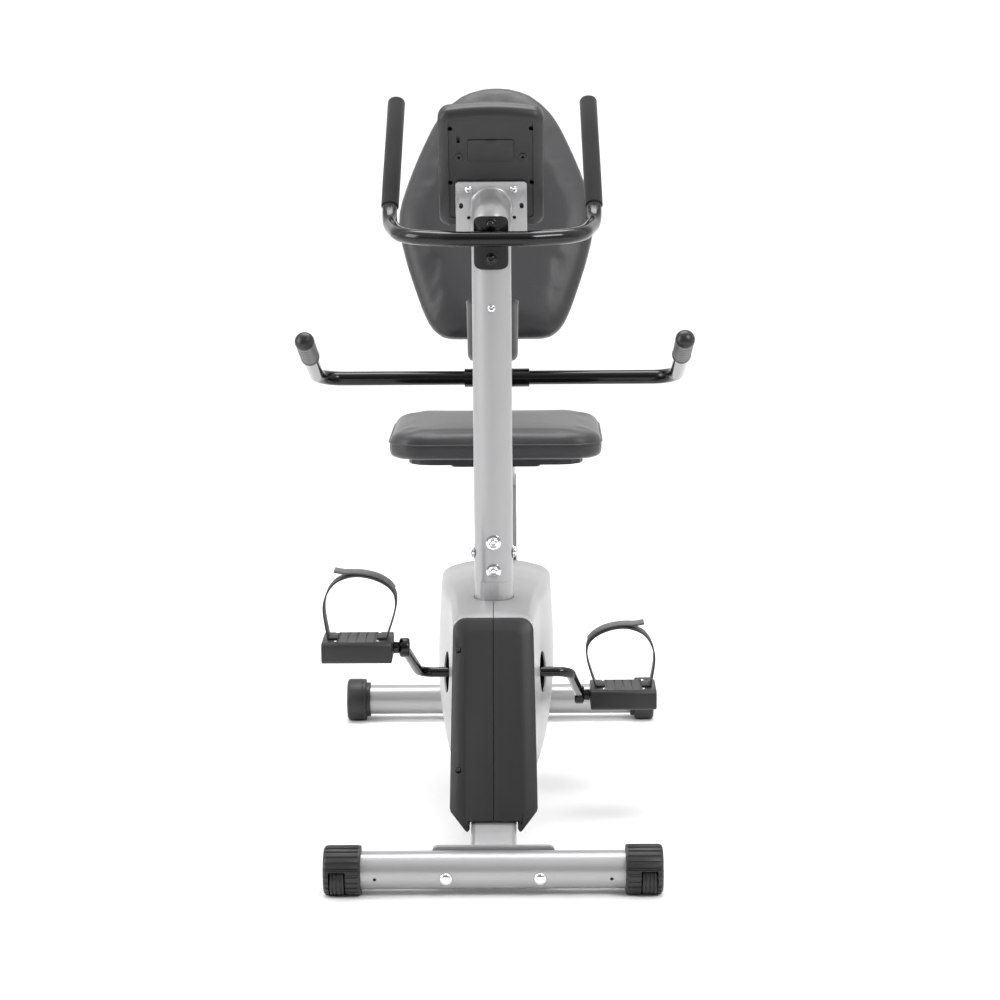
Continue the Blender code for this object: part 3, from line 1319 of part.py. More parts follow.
def build_backrest():
    foot = Vector((0, FRONT_Y + BACK_BOTTOM_BACK, BACK_BOTTOM_HEIGHT))

    def ring(inset, depth):
        return [foot + ACROSS * u + BACK_UP * v + BACK_OUT * depth for u, v in back_outline(inset)]

    rings = [ring(0.016, 0.0), ring(0.0, 0.014), ring(0.0, BACK_THICKNESS - 0.008), ring(0.006, BACK_THICKNESS)]
    add_object("backrest_cushion", loft(rings), vinyl())
    start = BACK_THICKNESS + GAP
    board = [ring(0.016, start), ring(0.016, start + SEAT_BOARD_THICKNESS)]
    add_object("backrest_board", loft(board), black_plastic(), smooth=False)


def build_seat_handlebar():
    centre = bar_axis()
    tip_y = FRONT_Y + SEAT_GRIP_TIP_BACK
    tip = Vector((SEAT_BAR_REACH, tip_y, SEAT_GRIP_TIP_HEIGHT))
    rise = (SEAT_GRIP_TIP_HEIGHT - centre.z) / (centre.y - tip_y)
    elbow = Vector((SEAT_BAR_REACH, centre.y, centre.z))
    half = bent_path([centre, elbow, tip], 0.045, 4)
    path = [Vector((-point.x, point.y, point.z)) for point in half[1:]][::-1] + half[1:]
    radius = SEAT_BAR_D / 2
    add_object("seat_handlebar", swept(path, circle_section(radius, 12), side=(0, 0, 1),
                                       hollow=circle_section(radius - BAR_WALL, 12)), black_paint())
    heading = Vector((0, -1, rise)).normalized()
    outer = SEAT_GRIP_D / 2
    bore = radius + GAP
    for side, label in LEFT_RIGHT:
        end = Vector((side * tip.x, tip.y, tip.z))
        add_object(
            "seat_grip_" + label,
            turned(end, heading, [
                (GAP, 0), (GAP, bore), (-SEAT_GRIP_LENGTH, bore), (-SEAT_GRIP_LENGTH, outer * 0.98),
                (-SEAT_GRIP_LENGTH + 0.004, outer), (-0.012, outer * 0.94), (-0.004, outer),
                (0.002, outer * 0.92), (0.007, outer * 0.60), (0.009, 0),
            ], 16),
            black_plastic(),
        )


def build_carriage():
    """Sleeve on the rail with two side cheeks and a bridge under the seat tube, and the adjuster pin."""
    middle = rail_point(seat_along())
    half = RAIL_ALONG * SLEEVE_LENGTH / 2
    inner_w = RAIL_WIDTH + 2 * RUNNING_GAP
    inner_d = RAIL_DEPTH + 2 * RUNNING_GAP
    outer_w = inner_w + 2 * SLEEVE_WALL
    outer_d = inner_d + 2 * SLEEVE_WALL
    carriage = add_object(
        "seat_carriage",
        swept([middle - half, middle + half], rounded_section(outer_w, outer_d, 0.005, 1),
              hollow=rounded_section(inner_w, inner_d, 0.004, 1)),
        silver_paint(),
    )
    bridge_top = seat_tube_height() - SEAT_TUBE_D / 2 - GAP
    front = middle - half * 0.96 + RAIL_UP * outer_d * 0.3
    rear = middle + half * 0.96 + RAIL_UP * outer_d * 0.3
    cheek_out = outer_w / 2 - GAP
    outline = [(front.y, front.z), (rear.y, rear.z), (rear.y - 0.004, bridge_top), (front.y + 0.010, bridge_top)]
    for side, _ in LEFT_RIGHT:
        weld(carriage, prism(outline, side * cheek_out, side * (cheek_out - CHEEK_THICKNESS)))
    bridge_low = bridge_top - CHEEK_THICKNESS
    deck = [(front.y + 0.010, bridge_low), (rear.y - 0.004, bridge_low), (rear.y - 0.004, bridge_top),
            (front.y + 0.010, bridge_top)]
    weld(carriage, prism(deck, -cheek_out + CHEEK_THICKNESS / 2, cheek_out - CHEEK_THICKNESS / 2))
    cut(carriage, swept([middle - half * 1.2, middle + half * 1.2], rounded_section(inner_w, inner_d, 0.004, 1)))
    nut = pin_place() - RAIL_UP * (RUNNING_GAP + SLEEVE_WALL)
    nut_length = 0.014
    weld(carriage, rod(nut + RAIL_UP * 0.001, nut - RAIL_UP * nut_length, 0.011, 14))
    cut(carriage, rod(nut + RAIL_UP * 0.02, nut - RAIL_UP * 0.03, ADJUSTER_D / 2 + GAP * 2, 12))
    engaged = RUNNING_GAP + SLEEVE_WALL + RAIL_WALL + 0.002
    shank = ADJUSTER_D / 2
    shoulder = nut_length + 0.0015
    add_object(
        "adjuster_pin",
        turned(nut, -RAIL_UP, [
            (-engaged, 0), (-engaged, shank - 0.001), (0.001 - engaged, shank), (shoulder, shank),
            (shoulder, 0.012), (shoulder + 0.005, 0.019), (shoulder + 0.018, 0.019),
            (shoulder + 0.022, 0.014), (shoulder + 0.022, 0),
        ], 16),
        black_plastic(),
        pivot=nut,
    )


# ---------------------------------------------------------------- build


def main():
    for obj in list(bpy.context.scene.objects):
        bpy.data.objects.remove(obj)
    build_front_stabiliser()
    build_rear_stabiliser()
    build_main_frame()
    build_rear_frame()
    build_crank()
    build_drive()
    build_mast()
    build_handlebar()
    build_console()
    build_shroud()
    build_seat_frame()
    build_seat()
    build_backrest()
    build_seat_handlebar()
    build_carriage()


main()
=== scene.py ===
"""Recumbent exercise bike: the visual model around its frame."""

import json
import math

import bmesh
import bpy
from bpy.props import FloatProperty, IntProperty, PointerProperty, StringProperty
from mathutils import Matrix, Vector


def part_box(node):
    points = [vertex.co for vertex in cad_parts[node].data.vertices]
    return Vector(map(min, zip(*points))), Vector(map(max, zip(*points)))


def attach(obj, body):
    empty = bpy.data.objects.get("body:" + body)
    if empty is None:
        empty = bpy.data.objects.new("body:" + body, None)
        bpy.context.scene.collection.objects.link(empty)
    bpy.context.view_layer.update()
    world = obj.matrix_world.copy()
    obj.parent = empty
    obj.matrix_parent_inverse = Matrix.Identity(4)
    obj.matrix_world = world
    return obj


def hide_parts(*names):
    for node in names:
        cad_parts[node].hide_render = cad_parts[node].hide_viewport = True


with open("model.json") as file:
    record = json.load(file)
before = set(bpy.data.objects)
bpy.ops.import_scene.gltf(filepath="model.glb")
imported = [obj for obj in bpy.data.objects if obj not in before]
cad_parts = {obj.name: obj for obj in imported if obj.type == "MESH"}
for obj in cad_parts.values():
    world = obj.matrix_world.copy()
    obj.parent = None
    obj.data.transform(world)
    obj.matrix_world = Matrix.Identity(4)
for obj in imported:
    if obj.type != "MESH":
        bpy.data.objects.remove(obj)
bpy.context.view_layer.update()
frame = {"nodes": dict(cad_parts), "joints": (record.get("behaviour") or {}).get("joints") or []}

bl_info = {
    "name": "Recumbent exercise bike",
    "version": (1, 0, 0),
    "blender": (4, 5, 0),
    "location": "View3D > Sidebar > Exercise bike",
    "description": "Builds the bike's shells, tubes, cushions, fittings and finishes",
    "category": "Add Mesh",
}

ACROSS = Vector((1, 0, 0))
UP = Vector((0, 0, 1))
BACK = Vector((0, 1, 0))
LEFT_RIGHT = ((1, "left"), (-1, "right"))
GAP = 0.0003

JOINTS = {joint["name"]: joint for joint in frame["joints"]}
CRANK_AXIS = Vector(JOINTS["crank_spin"]["pos_m"])
RAIL_ALONG = Vector(JOINTS["seat_slide"]["axis"]).normalized()
RAIL_UP = ACROSS.cross(RAIL_ALONG)
CONSOLE_OUT = -Vector(JOINTS["door_off"]["axis"]).normalized()
CONSOLE_UP = ACROSS.cross(CONSOLE_OUT)


def middle(node):
    """Middle of a frame node's box."""
    low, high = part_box(node)
    return (Vector(low) + Vector(high)) / 2


FRONT_AXIS = middle("front_stabiliser")
REAR_AXIS = middle("rear_stabiliser")
FRONT_Y = FRONT_AXIS.y


# ---------------------------------------------------------------- what a user would change


class BikeSizes(bpy.types.PropertyGroup):
    """Sizes of the visual model that can be set alone."""

    cap_ribs: IntProperty(name="Cap ribs", description="Ribs round each front end cap", default=24)
    rib_depth: FloatProperty(name="Rib depth", description="Depth of the grooves between the ribs",
                             default=0.0018, unit="LENGTH")
    seam_gap: FloatProperty(name="Seam gap", description="Half the gap between the shroud's halves",
                            default=0.0005, unit="LENGTH")
    piping: FloatProperty(name="Piping", description="Thickness of the welt sewn round the seat",
                          default=0.0030, unit="LENGTH")
    voxel: FloatProperty(name="Cloth grid", description="Grid of the padding's cloth simulation",
                         default=0.006, unit="LENGTH")


class BikeColours(bpy.types.PropertyGroup):
    """Colours, as sRGB hex."""

    silver: StringProperty(name="Silver paint", description="Powder coat of the tubes", default="#A2A2A3")
    gloss: StringProperty(name="Gloss black", description="Enamel of the bars and crank", default="#050506")
    plastic: StringProperty(name="Black plastic", description="Caps, pedals and console", default="#1B1B1C")
    shell: StringProperty(name="Silver plastic", description="Shroud sides", default="#9C9C9D")
    foam: StringProperty(name="Foam", description="Grips on the front bar", default="#212122")
    vinyl: StringProperty(name="Vinyl", description="Seat and back covers", default="#262628")
    strap: StringProperty(name="Strap", description="Foot straps", default="#242426")
    # The tongue's grey is a painted highlight: the strap's own rubber, drawn lighter for the light that falls
    # on its upper end.
    tongue: StringProperty(name="Strap tongue", description="Upper end of the foot straps", default="#454547")
    screen: StringProperty(name="Screen", description="Display behind its window", default="#7E8A7C")
    floor: StringProperty(name="Floor", description="Studio floor", default="#F4F4F4")


# ---------------------------------------------------------------- materials


def linear(colour):
    """Linear RGBA of an sRGB hex colour."""
    parts = [int(colour[i:i + 2], 16) / 255 for i in (1, 3, 5)]
    return tuple(c / 12.92 if c <= 0.04045 else ((c + 0.055) / 1.055) ** 2.4 for c in parts) + (1.0,)


def add(tree, kind, inputs=None, **settings):
    """Add a node, set its own settings, and set or link its inputs."""
    node = tree.nodes.new(kind)
    for key, value in settings.items():
        setattr(node, key, value)
    for key, value in (inputs or {}).items():
        if isinstance(value, bpy.types.NodeSocket):
            tree.links.new(value, node.inputs[key])
        else:
            node.inputs[key].default_value = value
    return node


def surface(name, colour, roughness, metallic=0.0, grain=0.6, depth=0.02, cells=False, tone=0.07,
            rough_range=0.06, stretch=(1, 1, 1), coat=0.0, coat_roughness=0.1, sheen=0.0, ior=1.5,
            specular=0.5):
    """A material with mottled colour, grain in mm that breaks up its gloss, and relief depth in mm."""
    material = bpy.data.materials.get(name)
    if material is not None:
        return material
    material = bpy.data.materials.new(name)
    material.use_nodes = True
    tree = material.node_tree
    shader = tree.nodes["Principled BSDF"]
    base = linear(colour)
    material.diffuse_color = base
    shader.inputs["Metallic"].default_value = metallic
    if not metallic:
        shader.inputs["IOR"].default_value = ior
    shader.inputs["Coat Weight"].default_value = coat
    shader.inputs["Coat Roughness"].default_value = coat_roughness
    shader.inputs["Sheen Weight"].default_value = sheen
    shader.inputs["Sheen Roughness"].default_value = 0.4
    shader.inputs["Specular IOR Level"].default_value = specular
    place = add(tree, "ShaderNodeTexCoord")
    way = add(tree, "ShaderNodeMapping", {"Vector": place.outputs["Object"], "Scale": stretch})
    # Broad, faint mottling: 90 mm patches, as light and handling leave on a real finish.
    patches = add(tree, "ShaderNodeTexNoise", {"Vector": place.outputs["Object"], "Scale": 1 / 0.09,
                                               "Detail": 4.0})
    if cells:
        fine = add(tree, "ShaderNodeTexVoronoi", {"Vector": way.outputs["Vector"], "Scale": 1000 / grain},
                   feature="SMOOTH_F1")
        height = fine.outputs["Distance"]
    else:
        fine = add(tree, "ShaderNodeTexNoise", {"Vector": way.outputs["Vector"], "Scale": 1000 / grain,
                                                "Detail": 3.0})
        height = fine.outputs["Fac"]
    mottle = add(tree, "ShaderNodeMath", {0: patches.outputs["Fac"], 1: height}, operation="ADD")
    share = add(tree, "ShaderNodeMapRange", {"Value": mottle.outputs[0], "From Min": 0.5, "From Max": 1.5})
    dark = tuple(c * (1 - tone) for c in base[:3]) + (1.0,)
    light = tuple(min(1.0, c * (1 + tone)) for c in base[:3]) + (1.0,)
    blend = add(tree, "ShaderNodeMix", {"Factor": share.outputs["Result"], "A": dark, "B": light},
                data_type="RGBA")
    tree.links.new(blend.outputs[2], shader.inputs["Base Color"])
    rough = add(tree, "ShaderNodeMapRange", {"Value": height, "To Min": max(0.02, roughness - rough_range),
                                             "To Max": min(1.0, roughness + rough_range)})
    tree.links.new(rough.outputs["Result"], shader.inputs["Roughness"])
    relief = add(tree, "ShaderNodeBump", {"Height": height, "Distance": depth / 1000, "Strength": 1.0})
    tree.links.new(relief.outputs["Normal"], shader.inputs["Normal"])
    return material


def silver_coat():
    """Powder-coated steel, baked silver: metal flake under a satin skin with faint orange peel."""
    return surface("powder-coated steel, baked silver", colours().silver, 0.34, metallic=0.55, grain=1.4,
                   depth=0.012, tone=0.05, coat=0.25, coat_roughness=0.15)


def gloss_black():
    """Enamelled steel, dipped gloss black: deep black with sharp, slightly wavy highlights."""
    return surface("enamelled steel, gloss black", colours().gloss, 0.16, grain=6.0, depth=0.02, tone=0.10,
                   coat=0.15, coat_roughness=0.08, rough_range=0.04, specular=0.35)


def black_plastic():
    """ABS, moulded against a spark-eroded tool: dark, even, with a fine grain that spreads its shine."""
    return surface("ABS, moulded with spark-eroded grain", colours().plastic, 0.46, grain=0.8, depth=0.03,
                   tone=0.10)


def smooth_black_plastic():
    """ABS, moulded against a smooth tool: the same black with a softer, clearer shine."""
    return surface("ABS, moulded satin black", colours().plastic, 0.34, grain=2.5, depth=0.01, tone=0.08)


def silver_shell():
    """ABS, moulded with aluminium flake: light grey, satin, faintly cloudy where the flow meets."""
    return surface("ABS, moulded silver flake", colours().shell, 0.38, metallic=0.25, grain=1.2, depth=0.008,
                   tone=0.05, coat=0.15, coat_roughness=0.25)


def grip_foam():
    """NBR foam, extruded: matte and dark with fine open cells, drawn 1.3 mm wide so that they show."""
    return surface("NBR foam, extruded sleeve", colours().foam, 0.85, grain=1.3, depth=0.12, cells=True,
                   tone=0.16, sheen=0.15, specular=0.3)


def cover_vinyl():
    """PVC-coated cloth, embossed leather grain: charcoal, with 1.8 mm pebbles that catch low light."""
    return surface("PVC-coated cloth, embossed grain", colours().vinyl, 0.47, grain=1.8, depth=0.10,
                   cells=True, tone=0.10, sheen=0.25, rough_range=0.08)


def welt_vinyl():
    """PVC-coated cloth over cord: the same cover, pulled smooth over the welt."""
    return surface("PVC-coated cloth, drawn over cord", colours().vinyl, 0.38, grain=1.0, depth=0.03,
                   tone=0.08, sheen=0.2)


def chrome_plate():
    """Chromed steel, buffed: mirror bright with hairline polishing marks."""
    return surface("chromed steel, buffed", "#E2E2E4", 0.08, metallic=1.0, grain=3.0, depth=0.004, tone=0.04,
                   rough_range=0.03)


def zinc_plate():
    """Zinc-plated steel, barrel plated: soft grey metal with a slightly cloudy grain."""
    return surface("zinc-plated steel, barrel plated", "#B9BABC", 0.30, metallic=1.0, grain=0.9, depth=0.01,
                   tone=0.10, rough_range=0.10)


def turned_iron():
    """Grey cast iron, turned: dark metal with fine concentric tool marks."""
    return surface("grey cast iron, turned", "#77787A", 0.42, metallic=1.0, grain=0.8, depth=0.03, tone=0.12,
                   stretch=(1, 0.2, 0.2), rough_range=0.12)


def strap_rubber():
    """TPE, moulded flat: a matte, slightly soft black with a fine even grain."""
    return surface("TPE, moulded strap", colours().strap, 0.52, grain=0.7, depth=0.03, tone=0.10)


def tongue_rubber_painted_lighter():
    """TPE, moulded with a satin face: the strap's upper end, drawn a lighter grey than the strap as a painted
    highlight for the light it catches.
    """
    return surface("TPE, moulded satin tongue", colours().tongue, 0.42, grain=0.8, depth=0.03, tone=0.10)


def belt_rubber():
    """Neoprene belt, ground: dull black with fine ribs along its run."""
    return surface("neoprene, ground belt", "#1C1C1C", 0.75, grain=1.6, depth=0.08, tone=0.12,
                   stretch=(6, 0.2, 0.2))


def display_glass():
    """Acrylic window over a liquid-crystal panel: grey-green under a clear gloss skin."""
    return surface("acrylic, clear cast over display", colours().screen, 0.25, grain=30.0, depth=0.004,
                   tone=0.05, coat=1.0, coat_roughness=0.03)


def floor_paint():
    """Studio floor paint, rolled: near white and matte, with a barely visible roller texture."""
    return surface("studio floor paint, rolled", colours().floor, 0.75, grain=12.0, depth=0.02, tone=0.006,
                   specular=0.2)


# ---------------------------------------------------------------- shape tools


def sizes():
    return bpy.context.scene.bike_sizes


def colours():
    return bpy.context.scene.bike_colours


def loft(rings, closed_loop=False, caps=True, wrap=True):
    """Skin through rings of points; a ring of one point closes to a tip."""
    bm = bmesh.new()
    loops = [[bm.verts.new(point) for point in ring] for ring in rings]
    pairs = list(zip(loops, loops[1:]))
    if closed_loop:
        pairs.append((loops[-1], loops[0]))
    for ring_a, ring_b in pairs:
        count = max(len(ring_a), len(ring_b))
        for i in range(count if wrap else count - 1):
            corners = []
            for vert in (ring_a[i % len(ring_a)], ring_a[(i + 1) % len(ring_a)],
                         ring_b[(i + 1) % len(ring_b)], ring_b[i % len(ring_b)]):
                if vert not in corners:
                    corners.append(vert)
            if len(corners) > 2:
                bm.faces.new(corners)
    if caps and not closed_loop:
        for ring in (loops[0], loops[-1]):
            if len(ring) > 2:
                bm.faces.new(ring)
    return bm


def turned(origin, axis, profile, steps=48):
    """Turn (along, radius) points about an axis; a profile off the axis joins end to start."""
    axis = Vector(axis).normalized()
    side = UP.copy() if abs(axis.z) < 0.9 else ACROSS.copy()
    side = (side - axis * side.dot(axis)).normalized()
    other = axis.cross(side)
    rings = []
    for along, radius in profile:
        centre = Vector(origin) + axis * along
        count = steps if radius > 0 else 1
        rings.append([centre + radius * (math.cos(math.tau * i / steps) * side
                                         + math.sin(math.tau * i / steps) * other) for i in range(count)])
    return loft(rings, closed_loop=profile[0][1] > 0)


def rod(start, end, radius, steps=32, bore=0.0, soft=0.0):
    """A round bar or tube between two points, with its ends' edges softened."""
    length = (Vector(end) - Vector(start)).length
    profile = [(0, bore)]
    if soft:
        profile += [(0, radius - soft), (soft * 0.3, radius - soft * 0.3), (soft, radius),
                    (length - soft, radius), (length - soft * 0.3, radius - soft * 0.3),
                    (length, radius - soft)]
    else:
        profile += [(0, radius), (length, radius)]
    profile.append((length, bore))
    return turned(start, Vector(end) - Vector(start), profile, steps)


def circle(radius, steps=40):
    return [(radius * math.cos(math.tau * i / steps),
             radius * math.sin(math.tau * i / steps)) for i in range(steps)]


def rounded(width, height, radius, steps=6):
    """Corners of a rounded rectangle, centred."""
    points = []
    for turn, (sx, sy) in enumerate(((1, 1), (-1, 1), (-1, -1), (1, -1))):
        for step in range(steps + 1):
            angle = math.pi / 2 * (turn + step / steps)
            points.append((sx * (width / 2 - radius) + radius * math.cos(angle),
                           sy * (height / 2 - radius) + radius * math.sin(angle)))
    return points


def bent_path(corners, radius, steps=10):
    """A polyline whose inner corners are rounded."""
    corners = [Vector(corner) for corner in corners]
    path = [corners[0]]
    for before, corner, after in zip(corners, corners[1:], corners[2:]):
        back = (before - corner).normalized()
        on = (after - corner).normalized()
        half = back.angle(on) / 2
        reach = min(radius / math.tan(half), 0.45 * min((before - corner).length, (after - corner).length))
        centre = corner + (back + on).normalized() * reach * math.tan(half) / math.sin(half)
        start = corner + back * reach - centre
        end = corner + on * reach - centre
        total = start.angle(end)
        for step in range(steps + 1):
            share = step / steps
            path.append(centre + (start * math.sin((1 - share) * total) + end * math.sin(share * total))
                        / math.sin(total))
    path.append(corners[-1])
    return path


def both_sides(half):
    """A path across the bike from its left half, which starts in the middle."""
    return [Vector((-p.x, p.y, p.z)) for p in half[:0:-1]] + half[1:]


def smooth_curve(points, steps):
    """Points on a smooth curve through the given ones (Catmull-Rom)."""
    points = [Vector(point) for point in points]
    padded = [points[0] * 2 - points[1]] + points + [points[-1] * 2 - points[-2]]
    curve = []
    for a, b, c, d in zip(padded, padded[1:], padded[2:], padded[3:]):
        for step in range(steps):
            t = step / steps
            curve.append(0.5 * (2 * b + (c - a) * t + (2 * a - 5 * b + 4 * c - d) * t * t
                                + (3 * b - 3 * c + d - a) * t ** 3))
    curve.append(points[-1])
    return curve


def section_rings(path, section, side):
    """A flat section placed along a path, mitred at its bends, without twist."""
    rings = []
    side = Vector(side)
    for index, point in enumerate(path):
        before = (point - path[index - 1]).normalized() if index > 0 else None
        after = (path[index + 1] - point).normalized() if index < len(path) - 1 else None
        tangent = ((before or after) + (after or before)).normalized()
        straight = before or after
        side = (side - straight * side.dot(straight)).normalized()
        other = straight.cross(side)
        ring = []
        for u, v in section:
            offset = side * u + other * v
            ring.append(point + offset - straight * (offset.dot(tangent) / straight.dot(tangent)))
        rings.append(ring)
    return rings


def swept(path, section, side=ACROSS, hollow=None):
    """Sweep a section along a path; hollow is the inner section of an open-ended tube."""
    outer = section_rings(path, section, side)
    if hollow is None:
        return loft(outer)
    return loft(outer + section_rings(path, hollow, side)[::-1], closed_loop=True)


def panel(centre, outline, thickness, axes, soft=0.0008):
    """A flat plate with softened edges; outline(inset) gives its (across, up) points."""
    across, up, out = axes
    rings = []
    for inset, depth in ((soft, 0), (soft * 0.3, soft * 0.3), (0, soft), (0, thickness - soft),
                         (soft * 0.3, thickness - soft * 0.3), (soft, thickness)):
        rings.append([centre + across * u + up * v + out * depth for u, v in outline(inset)])
    return loft(rings)


def box_outline(width, height, radius, steps=6):
    """An outline function of a rounded rectangle."""
    return lambda inset: rounded(width - 2 * inset, height - 2 * inset, max(radius - inset, 1e-4), steps)


def slab(low, high):
    """A plain block between two corners, for cutting."""
    return loft([[Vector((x, y, z)) for x, y in ((low[0], low[1]), (high[0], low[1]), (high[0], high[1]),
                                                 (low[0], high[1]))] for z in (low[2], high[2])])


def linked(name, data):
    """A new object in the scene's collection."""
    obj = bpy.data.objects.new(name, data)
    bpy.context.scene.collection.objects.link(obj)
    return obj


def loose(bm, name="shape"):
    """A scene object that holds a shape while it is being worked."""
    bmesh.ops.remove_doubles(bm, verts=bm.verts, dist=1e-6)
    bmesh.ops.recalc_face_normals(bm, faces=bm.faces)
    mesh = bpy.data.meshes.new(name)
    bm.to_mesh(mesh)
    bm.free()
    return linked(name, mesh)


def worked(obj):
    """Mesh of an object with its modifiers applied; the object and its guides are removed."""
    graph = bpy.context.evaluated_depsgraph_get()
    mesh = bpy.data.meshes.new_from_object(obj.evaluated_get(graph))
    guides = [modifier.object for modifier in obj.modifiers if modifier.type == "BOOLEAN"]
    for other in [obj] + guides:
        bpy.data.objects.remove(other)
    return mesh


def shaped(bm, cut=(), join=(), bevel=0.0, segments=3, angle=40):
    """Join others to a shape, cut others from it, round its edges, and return its mesh."""
    obj = loose(bm)
    for operation, others in (("UNION", join), ("DIFFERENCE", cut)):
        for other in others:
            boolean = obj.modifiers.new(operation.lower(), "BOOLEAN")
            boolean.operation = operation
            boolean.solver = "EXACT"
            boolean.object = loose(other, "guide")
    if bevel:
        soften = obj.modifiers.new("soften", "BEVEL")
        soften.width = bevel
        soften.segments = segments
        soften.limit_method = "ANGLE"
        soften.angle_limit = math.radians(angle)
        soften.harden_normals = False
    return worked(obj)


def piece(name, mesh, material, body, replaces=(), sharp=38):
    """Show a mesh as a named piece of the bike that rides on a body."""
    if isinstance(mesh, bmesh.types.BMesh):
        mesh = shaped(mesh)
    mesh.name = name
    mesh.materials.clear()
    mesh.materials.append(material)
    mesh.shade_smooth()
    mesh.set_sharp_from_angle(angle=math.radians(sharp))
    obj = linked(name, mesh)
    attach(obj, body)
    if replaces:
        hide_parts(*replaces)
    return obj


def repaint(material, *nodes):
    """Give frame nodes whose shape stays a finished material."""
    for node in nodes:
        mesh = frame["nodes"][node].data
        if not mesh.materials:
            mesh.materials.append(material)
        for index in range(len(mesh.materials)):
            mesh.materials[index] = material


def joined(*shapes):
    """Several shapes that don't touch, as one mesh source."""
    whole = shapes[0]
    for other in shapes[1:]:
        mesh = bpy.data.meshes.new("part")
        bmesh.ops.recalc_face_normals(other, faces=other.faces)
        other.to_mesh(mesh)
        other.free()
        whole.from_mesh(mesh)
        bpy.data.meshes.remove(mesh)
    return whole


def screw(place, out, radius, height=0.0, socket=0.45, washer=0.0, steps=32):
    """A domed screw head with a socket, and a washer under it where asked."""
    out = Vector(out).normalized()
    height = height or radius * 0.75
    base = place + out * (0.0012 if washer else 0.0)
    dip = radius * socket
    profile = [(-0.001, 0), (-0.001, radius * 0.96), (0, radius), (height * 0.35, radius),
               (height * 0.72, radius * 0.86), (height * 0.93, radius * 0.62), (height, dip),
               (height * 0.45, dip * 0.92), (height * 0.40, 0)]
    head = turned(base, out, profile, steps)
    if washer:
        return joined(head, turned(place, out, [(-0.0005, 0), (-0.0005, washer), (0.0007, washer),
                                                (0.0011, washer * 0.94), (0.0011, 0)], steps))
    return head


# ---------------------------------------------------------------- frame and mast

MAST_FOOT = Vector((0, FRONT_Y + 0.320, 0.384))
MAST_UP = Vector((0, -0.04362, 0.99905)).normalized()
MAST_R = 0.0305
MAST_TOP = Vector((0, -0.23967, 1.003))
PLATE_MIDDLE = MAST_TOP + CONSOLE_OUT * 0.0015 - CONSOLE_UP * 0.011
BAR_CENTRE = Vector((0, FRONT_Y + 0.245, 0.9585))
BAR_R = 0.01175
TUBE_WALL = 0.002
WHEEL_ROOM = 0.0125


def mast_point(height):
    return MAST_FOOT + MAST_UP * ((height - MAST_FOOT.z) / MAST_UP.z)


def mast_face(height):
    """Point on the front of the mast's skin at a height."""
    return mast_point(height) - MAST_UP.cross(ACROSS) * MAST_R


def build_tubes():
    """Stabiliser tubes with their open ends inside the caps, and the two small drain holes."""
    for name, node, axis in (("front_tube", "front_stabiliser", FRONT_AXIS),
                             ("rear_tube", "rear_stabiliser", REAR_AXIS)):
        low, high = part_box(node)
        radius = (high[2] - low[2]) / 2
        ends = [Vector((x, axis.y, axis.z)) for x in (low[0], high[0])]
        holes = []
        if name == "front_tube":
            out = Vector((0, -math.cos(math.radians(15)), -math.sin(math.radians(15))))
            for side in (-1, 1):
                at = axis + ACROSS * side * 0.176 + out * radius
                holes.append(rod(at + out * 0.01, at - out * 0.01, 0.0026, 24))
        mesh = shaped(rod(ends[0], ends[1], radius, 96, bore=radius - TUBE_WALL), cut=holes)
        piece(name, mesh, silver_coat(), "frame", [node])
    out = Vector((0, -math.cos(math.radians(14.5)), -math.sin(math.radians(14.5))))
    for side, label in LEFT_RIGHT:
        at = FRONT_AXIS + ACROSS * side * 0.070
        radius = 0.0285
        head = turned(at + out * radius, out, [
            (-0.001, 0), (-0.001, 0.0100), (0.0004, 0.0102), (0.0016, 0.0098), (0.0034, 0.0080),
            (0.0046, 0.0052), (0.0051, 0.0022), (0.0052, 0)])
        nut = turned(at - out * (radius + 0.0062), -out, [
            (0, 0), (0, 0.0068), (0.0065, 0.0068), (0.0068, 0.0062), (0.0110, 0.0046), (0.0125, 0)])
        shank = rod(at - out * (radius + 0.006), at + out * (radius - 0.0015), 0.0039, 20)
        piece("saddle_bolt." + label, joined(head, nut, shank), chrome_plate(), "frame",
              ["saddle_bolt_" + label])


def cap_ring(axis, x, radius, depth, floor=0.0):
    """One ribbed ring of an end cap, cut flat where it stands on the floor."""
    ribs = sizes().cap_ribs
    steps = ribs * 8
    ring = []
    for i in range(steps):
        angle = math.tau * i / steps
        wave = (i % 8) / 8
        groove = depth if wave in (0.0, 0.125, 0.875) else 0.0
        r = radius - groove
        ring.append(Vector((x, axis.y + r * math.cos(angle), max(floor, axis.z + r * math.sin(angle)))))
    return ring


